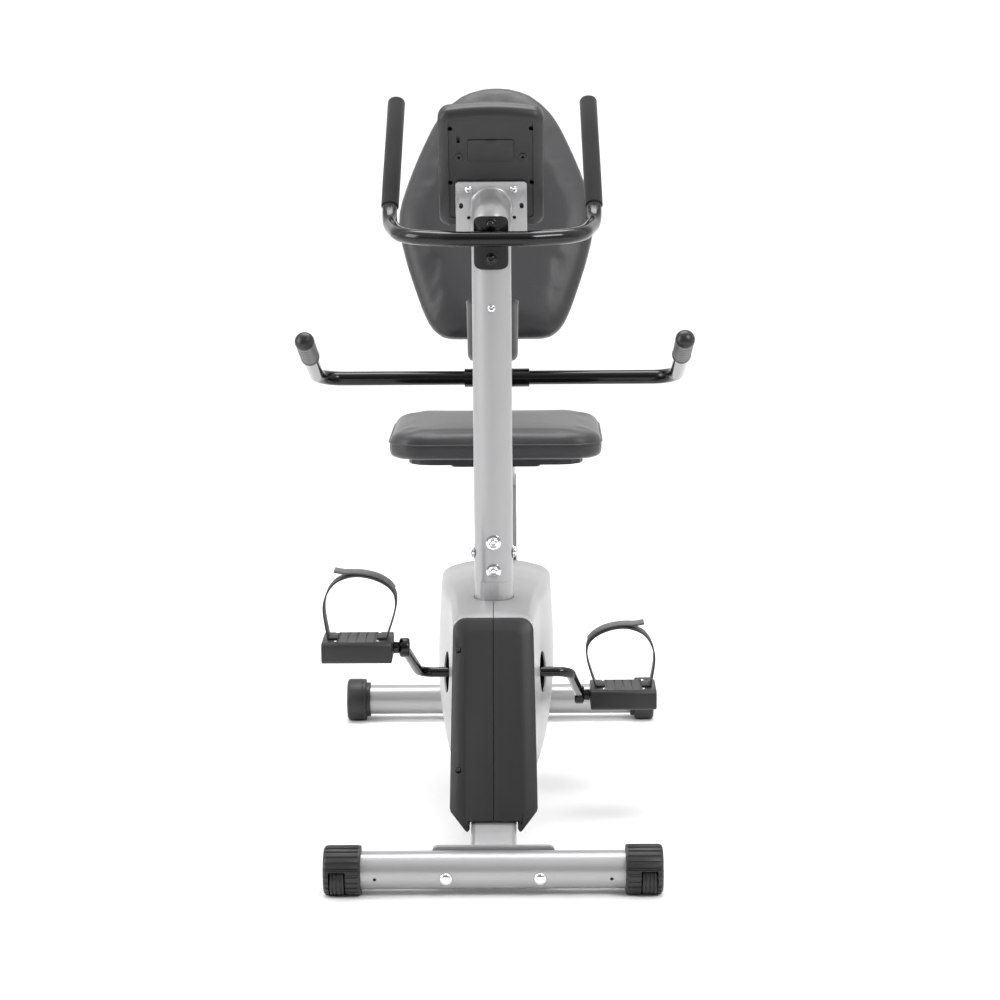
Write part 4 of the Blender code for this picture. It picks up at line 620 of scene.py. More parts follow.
def build_front_caps():
    """Ribbed end caps with a slot in front, and the grooved wheel that turns in it."""
    depth = sizes().rib_depth
    for side, label in LEFT_RIGHT:
        low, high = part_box("front_cap_" + label)
        inner, outer = sorted((abs(low[0]), abs(high[0])))
        radius = 0.0375
        rings = [cap_ring(FRONT_AXIS, side * x, radius - cut_in, groove) for x, cut_in, groove in (
            (inner, 0.0015, 0), (inner + 0.0008, 0.0003, 0), (inner + 0.0035, 0.0003, 0),
            (inner + 0.0042, 0, depth), (outer - 0.006, 0, depth), (outer - 0.0035, 0.0010, depth * 0.6),
            (outer - 0.0015, 0.0030, 0), (outer - 0.0004, 0.0055, 0), (outer, 0.0080, 0))]
        wheel_x, wheel_y, wheel_z = middle("transport_wheel_" + label)
        socket = rod(Vector((side * (inner - 0.01), FRONT_AXIS.y, FRONT_AXIS.z)),
                     Vector((side * (inner + 0.0140), FRONT_AXIS.y, FRONT_AXIS.z)), 0.0287, 64)
        near, far = wheel_x - WHEEL_ROOM, wheel_x + WHEEL_ROOM
        slot = slab((near, wheel_y - 0.05, -0.01), (far, wheel_y, wheel_z + 0.0155))
        round_slot = rod(Vector((near, wheel_y, wheel_z)), Vector((far, wheel_y, wheel_z)), 0.0255, 64)
        piece("front_cap." + label, shaped(loft(rings), cut=[socket, slot, round_slot]), black_plastic(),
              "frame", ["front_cap_" + label], sharp=32)
        half = 0.011
        profile = [(-half, 0.0033), (-half, 0.0220), (-half + 0.0012, 0.0236)]
        for groove in (-0.0060, 0.0, 0.0060):
            profile += [(groove - 0.0012, 0.0240), (groove - 0.0007, 0.0228), (groove + 0.0007, 0.0228),
                        (groove + 0.0012, 0.0240)]
        profile += [(half - 0.0012, 0.0236), (half, 0.0220), (half, 0.0033)]
        piece("wheel." + label, turned((wheel_x, wheel_y, wheel_z), ACROSS, profile, 64), black_plastic(),
              label + "_wheel", ["transport_wheel_" + label])
        low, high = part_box("wheel_axle_" + label)
        pin = rod((low[0], wheel_y, wheel_z), (high[0], wheel_y, wheel_z), 0.0029, 24, soft=0.0004)
        piece("wheel_pin." + label, pin, zinc_plate(), "frame", ["wheel_axle_" + label])


def build_rear_caps():
    """Round end caps with a collar on the tube and a raised ring at the rim."""
    for side, label in LEFT_RIGHT:
        low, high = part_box("rear_cap_" + label)
        inner, outer = sorted((abs(low[0]), abs(high[0])))
        rings = []
        for x, radius in ((inner, 0.0284), (inner, 0.0312), (inner + 0.0008, 0.0320),
                          (inner + 0.0070, 0.0320), (inner + 0.0076, 0.0372), (inner + 0.0090, 0.0388),
                          (inner + 0.0130, 0.0390), (inner + 0.0136, 0.0383), (inner + 0.0148, 0.0383),
                          (inner + 0.0154, 0.0390), (outer - 0.0060, 0.0390), (outer - 0.0025, 0.0376),
                          (outer - 0.0006, 0.0340), (outer, 0.0300)):
            rings.append([Vector((side * x, REAR_AXIS.y + radius * math.cos(math.tau * i / 96),
                                  max(0.0, REAR_AXIS.z + radius * math.sin(math.tau * i / 96))))
                          for i in range(96)])
        bore = rod(Vector((side * (inner - 0.01), REAR_AXIS.y, REAR_AXIS.z)),
                   Vector((side * (inner + 0.026), REAR_AXIS.y, REAR_AXIS.z)), 0.0277, 64)
        piece("rear_cap." + label, shaped(loft(rings), cut=[bore]), black_plastic(), "frame",
              ["rear_cap_" + label])


def build_frame():
    """Finish of the welded frame, a plug in the rail's end and the weld at the saddle plate."""
    repaint(silver_coat(), "main_frame", "rear_frame", "seat_carriage")
    end = CRANK_AXIS + RAIL_ALONG * 0.8002
    plug = panel(end, box_outline(0.060, 0.050, 0.005), 0.0040, (ACROSS, RAIL_UP, RAIL_ALONG), 0.0012)
    piece("rail_plug", plug, black_plastic(), "frame")
    tube_end = Vector((0, FRONT_Y + 0.030, 0.046))
    bead = bent_path([tube_end + Vector((x, 0.0, z)) for x, z in (
        (-0.030, 0.0), (-0.030, 0.016), (0.030, 0.016), (0.030, 0.0))], 0.006, 4)
    piece("foot_weld", swept(bead, circle(0.0022, 12), side=BACK), silver_coat(), "frame")


def build_mast():
    """Round mast with its swan neck, the welded console plate, its bolts and washers."""
    start = mast_point(0.419) + MAST_UP * GAP
    run = (MAST_TOP.y - start.y) * MAST_UP.z - (MAST_TOP.z - start.z) * MAST_UP.y
    fall = CONSOLE_OUT.y * MAST_UP.z - CONSOLE_OUT.z * MAST_UP.y
    corner = MAST_TOP - CONSOLE_OUT * (run / fall)
    path = bent_path([start, corner, MAST_TOP + CONSOLE_OUT * 0.001], 0.055, 24)
    tube = swept(path, circle(MAST_R, 72), hollow=circle(MAST_R - TUBE_WALL, 72))
    axes = (ACROSS, CONSOLE_UP, CONSOLE_OUT)
    plate_base = PLATE_MIDDLE - CONSOLE_OUT * 0.0015
    holes = []
    for side in (-1, 1):
        oval = plate_base + ACROSS * side * 0.0470 + CONSOLE_UP * 0.0115
        holes.append(panel(oval - CONSOLE_OUT * 0.01, box_outline(0.0062, 0.0095, 0.0030), 0.02, axes,
                           0.0002))
        small = plate_base + ACROSS * side * 0.0354 - CONSOLE_UP * 0.0085
        holes.append(rod(small - CONSOLE_OUT * 0.01, small + CONSOLE_OUT * 0.01, 0.0030, 24))
    flat = panel(plate_base, box_outline(0.111, 0.104, 0.006), 0.003, axes, 0.0006)
    bead = turned(MAST_TOP - CONSOLE_OUT * 0.0006, CONSOLE_OUT,
                  [(-0.0035, MAST_R - 0.001), (-0.0030, MAST_R + 0.0010), (-0.0012, MAST_R + 0.0028),
                   (0.0006, MAST_R + 0.0034), (0.0006, MAST_R - 0.001)], 72)
    piece("mast_tube", shaped(tube), silver_coat(), "frame", ["mast"])
    piece("console_plate", shaped(flat, cut=holes), silver_coat(), "frame", ["mast"])
    piece("neck_weld", bead, silver_coat(), "frame")
    for side, label in LEFT_RIGHT:
        at = plate_base + ACROSS * side * 0.0350 + CONSOLE_UP * 0.0400
        piece("plate_screw." + label, screw(at, -CONSOLE_OUT, 0.0062, 0.0035), chrome_plate(), "frame")
    for name, height in (("front1", 0.4835), ("front2", 0.4375)):
        bolt = screw(mast_face(height), -BACK, 0.0085, 0.0060, washer=0.0118)
        piece("mast_bolt." + name, bolt, chrome_plate(), "frame")
    for side, label in LEFT_RIGHT:
        bolt = screw(mast_point(0.4626) + ACROSS * side * MAST_R, ACROSS * side, 0.0085, 0.0065,
                     washer=0.0108)
        piece("mast_bolt." + label, bolt, chrome_plate(), "frame")
    piece("holder_screw", screw(mast_face(0.8515), -BACK, 0.0060, 0.0030), chrome_plate(), "frame")


# ---------------------------------------------------------------- front handlebar


def build_handlebar():
    """Bent bar with foam sleeves pushed on its ends."""
    y = FRONT_Y
    corners = [BAR_CENTRE, Vector((0.0600, y + 0.245, 0.9585)), Vector((0.1390, y + 0.277, 0.9610)),
               Vector((0.1620, y + 0.390, 0.9740)), Vector((0.155, y + 0.552, 1.158))]
    half = bent_path(corners, 0.075, 14)
    radius = BAR_R
    piece("front_bar", swept(both_sides(half), circle(radius, 40), side=UP,
                             hollow=circle(radius - TUBE_WALL, 40)),
          gloss_black(), "frame", ["handlebar"])
    way = (half[-1] - half[-2]).normalized()
    for side, label in LEFT_RIGHT:
        tip = Vector((side * half[-1].x, half[-1].y, half[-1].z))
        heading = Vector((side * way.x, way.y, way.z))
        outer = 0.014
        profile = [(GAP, 0), (GAP, radius + GAP), (-0.212, radius + GAP), (-0.212, outer - 0.0012),
                   (-0.2108, outer), (-0.150, outer + 0.0002), (-0.080, outer), (0.001, outer),
                   (0.0035, outer - 0.0012), (0.0052, outer - 0.0036), (0.0060, outer - 0.0075), (0.0060, 0)]
        piece("foam_grip." + label, turned(tip, heading, profile, 48), grip_foam(), "frame",
              ["grip_" + label])


def build_bracket():
    """Curved bracket with two lobes that screws to the mast and carries the bar."""
    centre = mast_point(0.9525)
    forward = -MAST_UP.cross(ACROSS)
    inner = MAST_R + 2 * GAP
    outer = inner + 0.004
    rings = []
    for share in range(-24, 25):
        v = 0.041 * share / 24
        edge = 0.041 - abs(v)
        width = 0.0265
        if edge < 0.010:
            width -= 0.0105 * (1 - math.sqrt(max(0.0, 1 - ((0.010 - edge) / 0.010) ** 2)))
        spread = math.asin(width / outer)
        ring = []
        for radius, way in ((outer, 1), (inner, -1)):
            for step in range(-12, 13):
                angle = way * spread * step / 12
                ring.append(centre + MAST_UP * v + ACROSS * radius * math.sin(angle)
                            + forward * radius * math.cos(angle))
        rings.append(ring)
    seat = slab((-0.017, BAR_CENTRE.y + 0.002, BAR_CENTRE.z - 0.009),
                (0.017, centre.y - MAST_R - 0.001, BAR_CENTRE.z + 0.009))
    bore = rod(BAR_CENTRE - ACROSS * 0.05, BAR_CENTRE + ACROSS * 0.05, BAR_R + GAP, 48)
    piece("bar_bracket", shaped(loft(rings), join=[seat], cut=[bore], bevel=0.0009), gloss_black(), "frame",
          ["handlebar_bracket"])
    for name, height in (("upper", 0.9805), ("lower", 0.9285)):
        at = mast_point(height) + forward * outer
        piece("bracket_screw." + name, screw(at, forward, 0.0068, 0.0045, washer=0.0092), gloss_black(),
              "frame")


def build_holder():
    """Drink cup with a rolled lip and a pad against the mast."""
    base = mast_point(0.758)
    centre = base + BACK * (MAST_R + 0.006 + 0.0415 - 0.002)
    outer, wall, height = 0.0415, 0.003, 0.095
    profile = [(0, 0), (0, outer - 0.010), (0.0015, outer - 0.0055), (0.006, outer - 0.0025),
               (0.012, outer - 0.0018), (height - 0.006, outer - 0.0006), (height - 0.005, outer),
               (height - 0.001, outer), (height, outer - 0.001), (height, outer - wall + 0.0006),
               (height - 0.001, outer - wall), (0.010, outer - wall - 0.0012),
               (wall + 0.001, outer - wall - 0.005), (wall, outer - wall - 0.009), (wall, 0)]
    pad_middle = mast_point(0.853 - 0.035) + BACK * (MAST_R + 0.003 + 0.0012)
    pad = slab((-0.015, pad_middle.y - 0.003, pad_middle.z - 0.035),
               (0.015, pad_middle.y + 0.006, pad_middle.z + 0.035))
    mast_cut = rod(mast_point(0.66), mast_point(0.95), MAST_R + 2 * GAP, 72)
    inside = rod(centre + UP * 0.010, centre + UP * (height + 0.01), outer - wall - 0.001, 64)
    piece("drink_holder", shaped(turned(centre, UP, profile, 72), join=[pad], cut=[mast_cut, inside]),
          smooth_black_plastic(), "frame", ["bottle_holder"])


# ---------------------------------------------------------------- console

CONSOLE_WIDTH = 0.163
CONSOLE_HEIGHT = 0.200
# How much lower the arched top is at the console's sides.
ARCH_DROP = 0.0075


def console_point(across, up, out):
    """Point in the console's own directions from the middle of its back face."""
    return MAST_TOP + CONSOLE_OUT * 0.0033 + CONSOLE_UP * (0.062 + up) + ACROSS * across + CONSOLE_OUT * out


def console_outline(inset):
    """Console outline with an arched top; inset draws it in."""
    width, height = CONSOLE_WIDTH - 2 * inset, CONSOLE_HEIGHT - 2 * inset
    corner = max(0.016 - inset * 0.6, 0.004)
    points = rounded(width, height, corner, 10)
    left = -width / 2 + corner
    arch = [(-left + 2 * left * i / 14, height / 2) for i in range(1, 14)]
    points = points[:11] + arch + points[11:]
    return [(u, v - ARCH_DROP * (2 * u / CONSOLE_WIDTH) ** 2 if v > 0 else v) for u, v in points]


def console_ring(inset, out):
    return [console_point(u, v, out) for u, v in console_outline(inset)]


def build_console():
    """Console housing with its recessed back, display window, three keys and battery door."""
    door_up = (middle("battery_door") - console_point(0, 0, 0)).dot(CONSOLE_UP)
    axes = (ACROSS, CONSOLE_UP, CONSOLE_OUT)
    rings = [console_ring(inset, out) for inset, out in (
        (0, 0.0200), (0, 0.0110), (0.0008, 0.0085), (0.0028, 0.0055), (0.0065, 0.0028), (0.0110, 0.0011),
        (0.0155, 0.0003), (0.0162, 0.0004), (0.0170, 0.0020), (0.0200, 0.0022))]
    cuts = [panel(console_point(0, door_up, -0.005), box_outline(0.0716, 0.0366, 0.003), 0.019, axes, 0.0002)]
    for side in (-1, 1):
        for u, v, radius in ((0.0622, 0.0664, 0.0038), (0.0630, -0.0236, 0.0038), (0.0493, 0.0188, 0.0022)):
            at = console_point(side * u, v, 0)
            cuts.append(rod(at - CONSOLE_OUT * 0.01, at + CONSOLE_OUT * 0.012, radius, 28))
    cuts.append(panel(console_point(-0.050, 0.048, -0.005), box_outline(0.0050, 0.0110, 0.0020), 0.015,
                      axes, 0.0002))
    bosses = [turned(console_point(side * 0.0493, 0.0188, 0.0026), -CONSOLE_OUT,
                     [(0, 0), (0, 0.0064), (0.0022, 0.0062), (0.0026, 0.0056), (0.0026, 0)], 32)
              for side in (-1, 1)]
    piece("console_shell_back", shaped(loft(rings), join=bosses, cut=cuts), black_plastic(), "frame",
          ["console_back"], sharp=30)
    start = 0.0203
    face = start + 0.014
    rings = [console_ring(inset, out) for inset, out in (
        (0.0, start), (0.0, face - 0.0050), (0.0008, face - 0.0030), (0.0030, face - 0.0010), (0.0060, face))]
    window = panel(console_point(0, 0.034, face - 0.0032), box_outline(0.0986, 0.0706, 0.004), 0.02, axes,
                   0.0002)
    keys = [rod(console_point(i * 0.036, -0.044, face - 0.006),
                console_point(i * 0.036, -0.044, face + 0.01), 0.0096, 40) for i in (-1, 0, 1)]
    piece("console_shell_front", shaped(loft(rings), cut=[window] + keys, bevel=0.0006, angle=60),
          smooth_black_plastic(), "frame", ["console_front"], sharp=30)
    glass = panel(console_point(0, 0.034, face - 0.0032), box_outline(0.098, 0.070, 0.004), 0.002, axes,
                  0.0003)
    piece("display_window", glass, display_glass(), "frame", ["console_screen"])
    for i, label in ((-1, "mode"), (0, "set"), (1, "clear")):
        at = console_point(i * 0.036, -0.044, face - 0.0035)
        key = turned(at, CONSOLE_OUT, [(0, 0), (0, 0.0090), (0.0048, 0.0090), (0.0056, 0.0086),
                                       (0.0058, 0.0078), (0.0052, 0.0050), (0.0050, 0)], 40)
        piece("key." + label, key, smooth_black_plastic(), label + "_button",
              ["button_" + label])
    lid = panel(console_point(0, door_up, 0.0003), box_outline(0.071, 0.036, 0.003), 0.002, axes, 0.0005)
    latch = panel(console_point(0, door_up + 0.0150, -0.0010), box_outline(0.0150, 0.0052, 0.0012), 0.0022,
                  axes, 0.0005)
    piece("battery_lid", shaped(lid, join=[latch]), black_plastic(), "door",
          ["battery_door"])


# ---------------------------------------------------------------- shroud

SHELL_LOW = 0.067
SHELL_SHOULDER = 0.368
SHELL_TOP = 0.384
SHELL_REAR = 0.705
SHELL_WALL = 0.0025
# How far the front face stands behind the front axis, at the foot and at the top.
FACE_LOW = 0.087
FACE_TOP = 0.198
# Half width of the shroud's side by height.
SHELL_HALF = ((0.067, 0.036), (0.070, 0.040), (0.076, 0.049), (0.084, 0.057), (0.096, 0.067),
              (0.108, 0.0727), (0.120, 0.0773), (0.132, 0.0810), (0.144, 0.0840), (0.156, 0.0864),
              (0.180, 0.0905), (0.215, 0.0945), (0.255, 0.0962), (0.300, 0.0945), (0.340, 0.0922),
              (0.368, 0.0905))


def between(table, value):
    """Value read off a table of pairs by straight lines."""
    for (a, fa), (b, fb) in zip(table, table[1:]):
        if value <= b:
            return fa + (fb - fa) * max(0.0, (value - a) / (b - a))
    return table[-1][1]


def shell_front(height):
    """How far behind the front axis the shroud's front face is."""
    share = (height - SHELL_LOW) / (SHELL_TOP - SHELL_LOW)
    return FACE_LOW + (FACE_TOP - FACE_LOW) * share


def shell_line(height, half, back_in=0.0):
    """Half outline at one height: flat front, flared side and rounded rear, as (across, back) points."""
    front = shell_front(height)
    rear = SHELL_REAR - back_in
    flat = min(0.062, half * 0.70)
    flare = half - flat
    knots = [(0.0, front), (flat * 0.5, front + 0.0003), (flat * 0.9, front + 0.0020), (flat, front + 0.0042)]
    for share, run in ((0.08, 0.050), (0.30, 0.163), (0.585, 0.229), (0.853, 0.300), (0.97, 0.370),
                       (1.0, 0.450)):
        knots.append((flat + flare * share, front + run * min(1.0, (rear - front) / 0.55)))
    corner = min(0.070, (rear - front) * 0.15)
    for step in range(9):
        angle = math.pi / 2 * step / 8
        knots.append((half * (0.35 + 0.65 * math.cos(angle)), rear - corner * (1 - math.sin(angle))))
    knots.append((0.0, rear))
    curve = smooth_curve([Vector((x, y, 0)) for x, y in knots[3:-1]], 3)
    return [Vector((x, y, 0)) for x, y in knots[:3]] + curve + [Vector((0.0, rear, 0))]


def crest(back):
    """Height of the shroud's top along its middle."""
    table = ((0.19, 0.3815), (0.22, 0.3850), (0.29, 0.3890), (0.36, 0.3945), (0.45, 0.4005), (0.51, 0.4020),
             (0.58, 0.4000), (0.64, 0.3940), (0.69, 0.3840), (0.705, 0.3800))
    return between(table, back)


def shell_rings(side, inner_x):
    """Rings of one half of the shroud, closed over its domed top."""
    rings = []
    levels = [SHELL_LOW + 0.301 * step / 30 for step in range(31)]
    for height in levels:
        low_in = 0.100 * max(0.0, 1 - (height - SHELL_LOW) / 0.075) ** 1.7
        line = shell_line(height, between(SHELL_HALF, height), low_in)
        rings.append([Vector((side * max(p.x, inner_x), FRONT_Y + p.y, height)) for p in line])
    base = shell_line(SHELL_SHOULDER, between(SHELL_HALF, SHELL_SHOULDER))
    middle_y = 0.45
    for step in range(1, 17):
        t = step / 16
        shrink = 1 - t ** 1.6 * 0.985
        lift = math.sin(min(1.0, t * 3.6) * math.pi / 2) ** 0.9
        ring = []
        for p in base:
            x = p.x * shrink
            y = middle_y + (p.y - middle_y) * (1 - t ** 1.6 * 0.97)
            top = crest(y) - 0.017 * (x / 0.0905) ** 2.2
            ring.append(Vector((side * max(x, inner_x), FRONT_Y + y,
                                SHELL_SHOULDER + (top - SHELL_SHOULDER) * lift)))
        rings.append(ring)
    return rings


def inset_rings(rings, side, wall, inner_x):
    """The same rings moved inwards by the wall's thickness."""
    low = SHELL_LOW + wall
    moved = []
    for ring in rings:
        line = []
        for p in ring:
            y = p.y - FRONT_Y
            x = abs(p.x)
            x_in = inner_x if x < 0.002 else max(inner_x, x - wall)
            y_in = min(max(y, shell_front(p.z) + wall), SHELL_REAR - wall)
            z_in = max(low, p.z - wall if p.z > SHELL_SHOULDER - 0.001 else p.z)
            line.append(Vector((side * x_in, FRONT_Y + y_in, z_in)))
        moved.append(line)
    return moved


def foot_cut():
    """Block that clears the inclined foot tube where it enters the shroud."""
    path = [Vector((0, FRONT_Y + 0.020, 0.036)), Vector((0, FRONT_Y + 0.115, 0.078)), CRANK_AXIS]
    return swept(bent_path(path, 0.04, 6), rounded(0.073, 0.034, 0.007, 4))


def build_shroud():
    """Two moulded halves that meet on the middle line, with holes for the crank, mast, rail and foot."""
    gap = sizes().seam_gap
    for side, label in LEFT_RIGHT:
        rings = shell_rings(side, gap)
        hollow = inset_rings(rings, side, SHELL_WALL, -0.004)
        out = ACROSS * side
        cuts = [loft(hollow)]
        cuts.append(rod(CRANK_AXIS + out * 0.060, CRANK_AXIS + out * 0.125, 0.033, 72))
        cuts.append(rod(mast_point(0.33), mast_point(0.45), MAST_R + 0.001, 72))
        cuts.append(swept([CRANK_AXIS + RAIL_ALONG * 0.20, CRANK_AXIS + RAIL_ALONG * 0.52],
                          rounded(0.062, 0.052, 0.009, 6)))
        cuts.append(foot_cut())
        if side < 0:
            at = Vector((-0.0665, FRONT_Y + 0.330, 0.38))
            cuts.append(rod(at, at + UP * 0.03, 0.0030, 24))
        piece("shroud_half." + label, shaped(loft(rings), cut=cuts), silver_shell(), "frame",
              ["shroud_" + label], sharp=30)


def panel_half(side, inset, proud, gap):
    """Half of the black panel's outline, drawn in by an inset and standing proud of the front face."""
    notch = 0.0365 + inset * 0.35
    high = 0.380 - inset
    top_half = 0.062 - inset
    corner = max(0.020 - inset * 0.5, 0.006)
    points = [(gap, high), (top_half - corner, high)]
    for step in range(1, 8):
        angle = math.pi / 2 * (1 - step / 8)
        points.append((top_half - corner + corner * math.cos(angle),
                       high - corner + corner * math.sin(angle)))
    points += [(top_half, high - corner), (0.0645 - inset, 0.240), (0.067 - inset, 0.104 + inset * 0.3)]
    points += [(0.0655 - inset, 0.0985 + inset * 0.3), (0.0430, 0.0715 + inset * 0.55),
               (0.0400, 0.0700 + inset * 0.6)]
    points += [(notch + 0.0002, 0.0740 + inset * 0.5), (notch, 0.0845 + inset * 0.15),
               (gap, 0.0850 + inset * 0.15)]
    ring = []
    for x, z in points:
        x = max(gap, x)
        y = shell_front(z) - proud
        if x > 0.055:
            y += 0.0040 * ((x - 0.055) / 0.012) ** 2 * 0.6
        ring.append(Vector((side * x, FRONT_Y + y, z)))
    return ring


def build_panels():
    """Black panels over the shroud's front, raised in the middle behind a wide soft bevel."""
    gap = sizes().seam_gap
    for side, label in LEFT_RIGHT:
        rings = [panel_half(side, inset, proud, gap) for inset, proud in (
            (0.0010, -0.0060), (0.0, -0.0010), (0.0, 0.0012), (0.0008, 0.0022), (0.0050, 0.0040),
            (0.0120, 0.0065), (0.0175, 0.0078), (0.0190, 0.0080))]
        cuts = []
        if side < 0:
            for z in (0.334, 0.160):
                at = Vector((-0.0535, FRONT_Y + shell_front(z) - 0.012, z))
                cuts.append(rod(at, at + BACK * 0.0085, 0.0048, 32))
        piece("front_panel." + label, shaped(loft(rings), cut=cuts), black_plastic(), "frame",
              ["front_panel_" + label], sharp=28)
    for name, z in (("high", 0.334), ("low", 0.160)):
        at = Vector((-0.0535, FRONT_Y + shell_front(z) - 0.0040, z))
        piece("panel_screw." + name, screw(at, -BACK, 0.0036, 0.0020), smooth_black_plastic(), "frame")


# ---------------------------------------------------------------- crank and pedals

TILT = math.radians(25.5)
ARM = 0.165
PEDAL_SIDE = 0.209
PEDAL_INNER = 0.155
PEDAL_DEPTH = 0.094
PEDAL_THICK = 0.033
TOWARDS = {1: Vector((0, math.cos(TILT), -math.sin(TILT))), -1: Vector((0, -math.cos(TILT), math.sin(TILT)))}


def build_drive():
    """Finishes of the belt drive, whose shapes stay those of the frame."""
    repaint(turned_iron(), "flywheel")
    repaint(zinc_plate(), "flywheel_pulley", "flywheel_axle", "idler_arm", "magnet_bracket", "magnet_pin",
            "bearing_cup_left", "bearing_cup_right")
    repaint(smooth_black_plastic(), "crank_pulley", "idler_wheel", "adjuster_pin")
    repaint(belt_rubber(), "drive_belt")


def build_crank():
    """One-piece crank: a forged rod bent at both ends, with a flattened eye for each spindle."""
    corners = []
    for side in (-1, 1):
        arm = [CRANK_AXIS + ACROSS * side * 0.137 + TOWARDS[side] * (ARM - 0.0075),
               CRANK_AXIS + ACROSS * side * 0.120]
        corners += arm if side < 0 else arm[::-1]
    path = bent_path(corners, 0.024, 16)
    eyes = []
    for side in (-1, 1):
        eye = CRANK_AXIS + ACROSS * side * 0.129 + TOWARDS[side] * ARM
        eyes.append(turned(eye, ACROSS * side, [(0, 0), (0, 0.0122), (0.0008, 0.0138), (0.0028, 0.0150),
                                                (0.0132, 0.0150), (0.0152, 0.0138), (0.0160, 0.0122),
                                                (0.0160, 0)], 48))
    piece("crank_rod", shaped(swept(path, circle(0.008, 40), side=UP), join=eyes), gloss_black(), "crank",
          ["crank"])


def build_pedals():
    """Ribbed pedal bodies with chrome rivets, their spindles and the foot straps."""
    for side, label in LEFT_RIGHT:
        pivot = CRANK_AXIS + TOWARDS[side] * ARM
        out = ACROSS * side
        body = label + "_pedal"
        outline = rounded(PEDAL_DEPTH, PEDAL_THICK, 0.007, 8)
        rings = []
        for run, grow in ((0, -0.0020), (0.0006, -0.0006), (0.0020, 0), (0.106, 0), (0.1074, -0.0006),
                          (0.108, -0.0020)):
            rings.append([Vector((side * (PEDAL_INNER + run), pivot.y + u * (1 + 2 * grow / PEDAL_DEPTH),
                                  pivot.z + v * (1 + 2 * grow / PEDAL_THICK))) for u, v in outline])
        cuts = [rod(pivot + out * 0.145, pivot + out * 0.2489, 0.0063, 32)]
        for run in (0.026, 0.040, 0.054, 0.068, 0.082):
            for face in (-1, 1):
                at = Vector((side * (PEDAL_INNER + run), pivot.y, pivot.z + face * PEDAL_THICK / 2))
                reach = Vector((0.0012, 0.038, 0.0012))
                cuts.append(slab(at - reach, at + reach))
        piece("pedal_body." + label, shaped(loft(rings), cut=cuts, bevel=0.0004, segments=2, angle=50),
              black_plastic(), body, ["pedal_" + label], sharp=30)
        rivets = []
        for run in (0.0215, 0.0865):
            for back in (-0.033, 0.033):
                at = Vector((side * (PEDAL_INNER + run), pivot.y + back, pivot.z + PEDAL_THICK / 2))
                rivets.append(turned(at, UP, [(-0.001, 0), (-0.001, 0.0030), (0.0006, 0.0030),
                                              (0.0016, 0.0020), (0.0020, 0)], 24))
        piece("pedal_rivets." + label, joined(*rivets), chrome_plate(), body)
        face = 0.1453
        pin = turned(pivot + out * face, out, [
            (0, 0), (0, 0.0082), (0.0010, 0.0092), (0.0078, 0.0092), (0.0087, 0.0084), (0.0087, 0.0060),
            (0.1026, 0.0060), (0.1026, 0)], 40)
        piece("spindle." + label, pin, gloss_black(), body, ["pedal_spindle_" + label])
        build_strap(side, label, pivot, body)


def build_strap(side, label, pivot, body):
    """Moulded strap arched over the pedal, with a separate tongue that overlaps it at the top."""
    low = PEDAL_THICK / 2 + 0.0014 + GAP
    arch = [(-0.045, 0.0), (-0.0515, 0.0185), (-0.0565, 0.0351), (-0.0595, 0.0499), (-0.0590, 0.0640),
            (-0.0550, 0.0735), (-0.0460, 0.0825), (-0.030, 0.0910), (-0.010, 0.0962), (0.010, 0.0960),
            (0.0300, 0.0885), (0.0425, 0.0758), (0.0500, 0.0573), (0.0510, 0.037), (0.0450, 0.0)]
    tab = [(-0.0575, 0.0745), (-0.0490, 0.0845), (-0.0320, 0.0945), (-0.010, 0.1000), (0.008, 0.1012),
           (0.020, 0.1012), (0.0345, 0.1038)]
    middle_point = pivot + ACROSS * side * PEDAL_SIDE + UP * low

    def placed(points):
        return [middle_point + Vector((u * side, 0, v)) for u, v in points]

    path = placed([(-0.030, 0.0)]) + smooth_curve(placed(arch), 6) + placed([(0.030, 0.0)])
    strap = swept(path, rounded(0.040, 0.0028, 0.0010, 3), side=BACK)
    piece("foot_strap." + label, shaped(strap), strap_rubber(), body, ["pedal_strap_" + label])
    tongue = swept(smooth_curve(placed(tab), 8), rounded(0.036, 0.0034, 0.0014, 4), side=BACK)
    # The tongue is the strap's rubber with a painted highlight: its grey is lighter than the strap's.
    piece("strap_tongue." + label, shaped(tongue), tongue_rubber_painted_lighter(), body)


# ---------------------------------------------------------------- seat and backrest


STIFFNESS = 40
MOST_SWELL = 0.0016


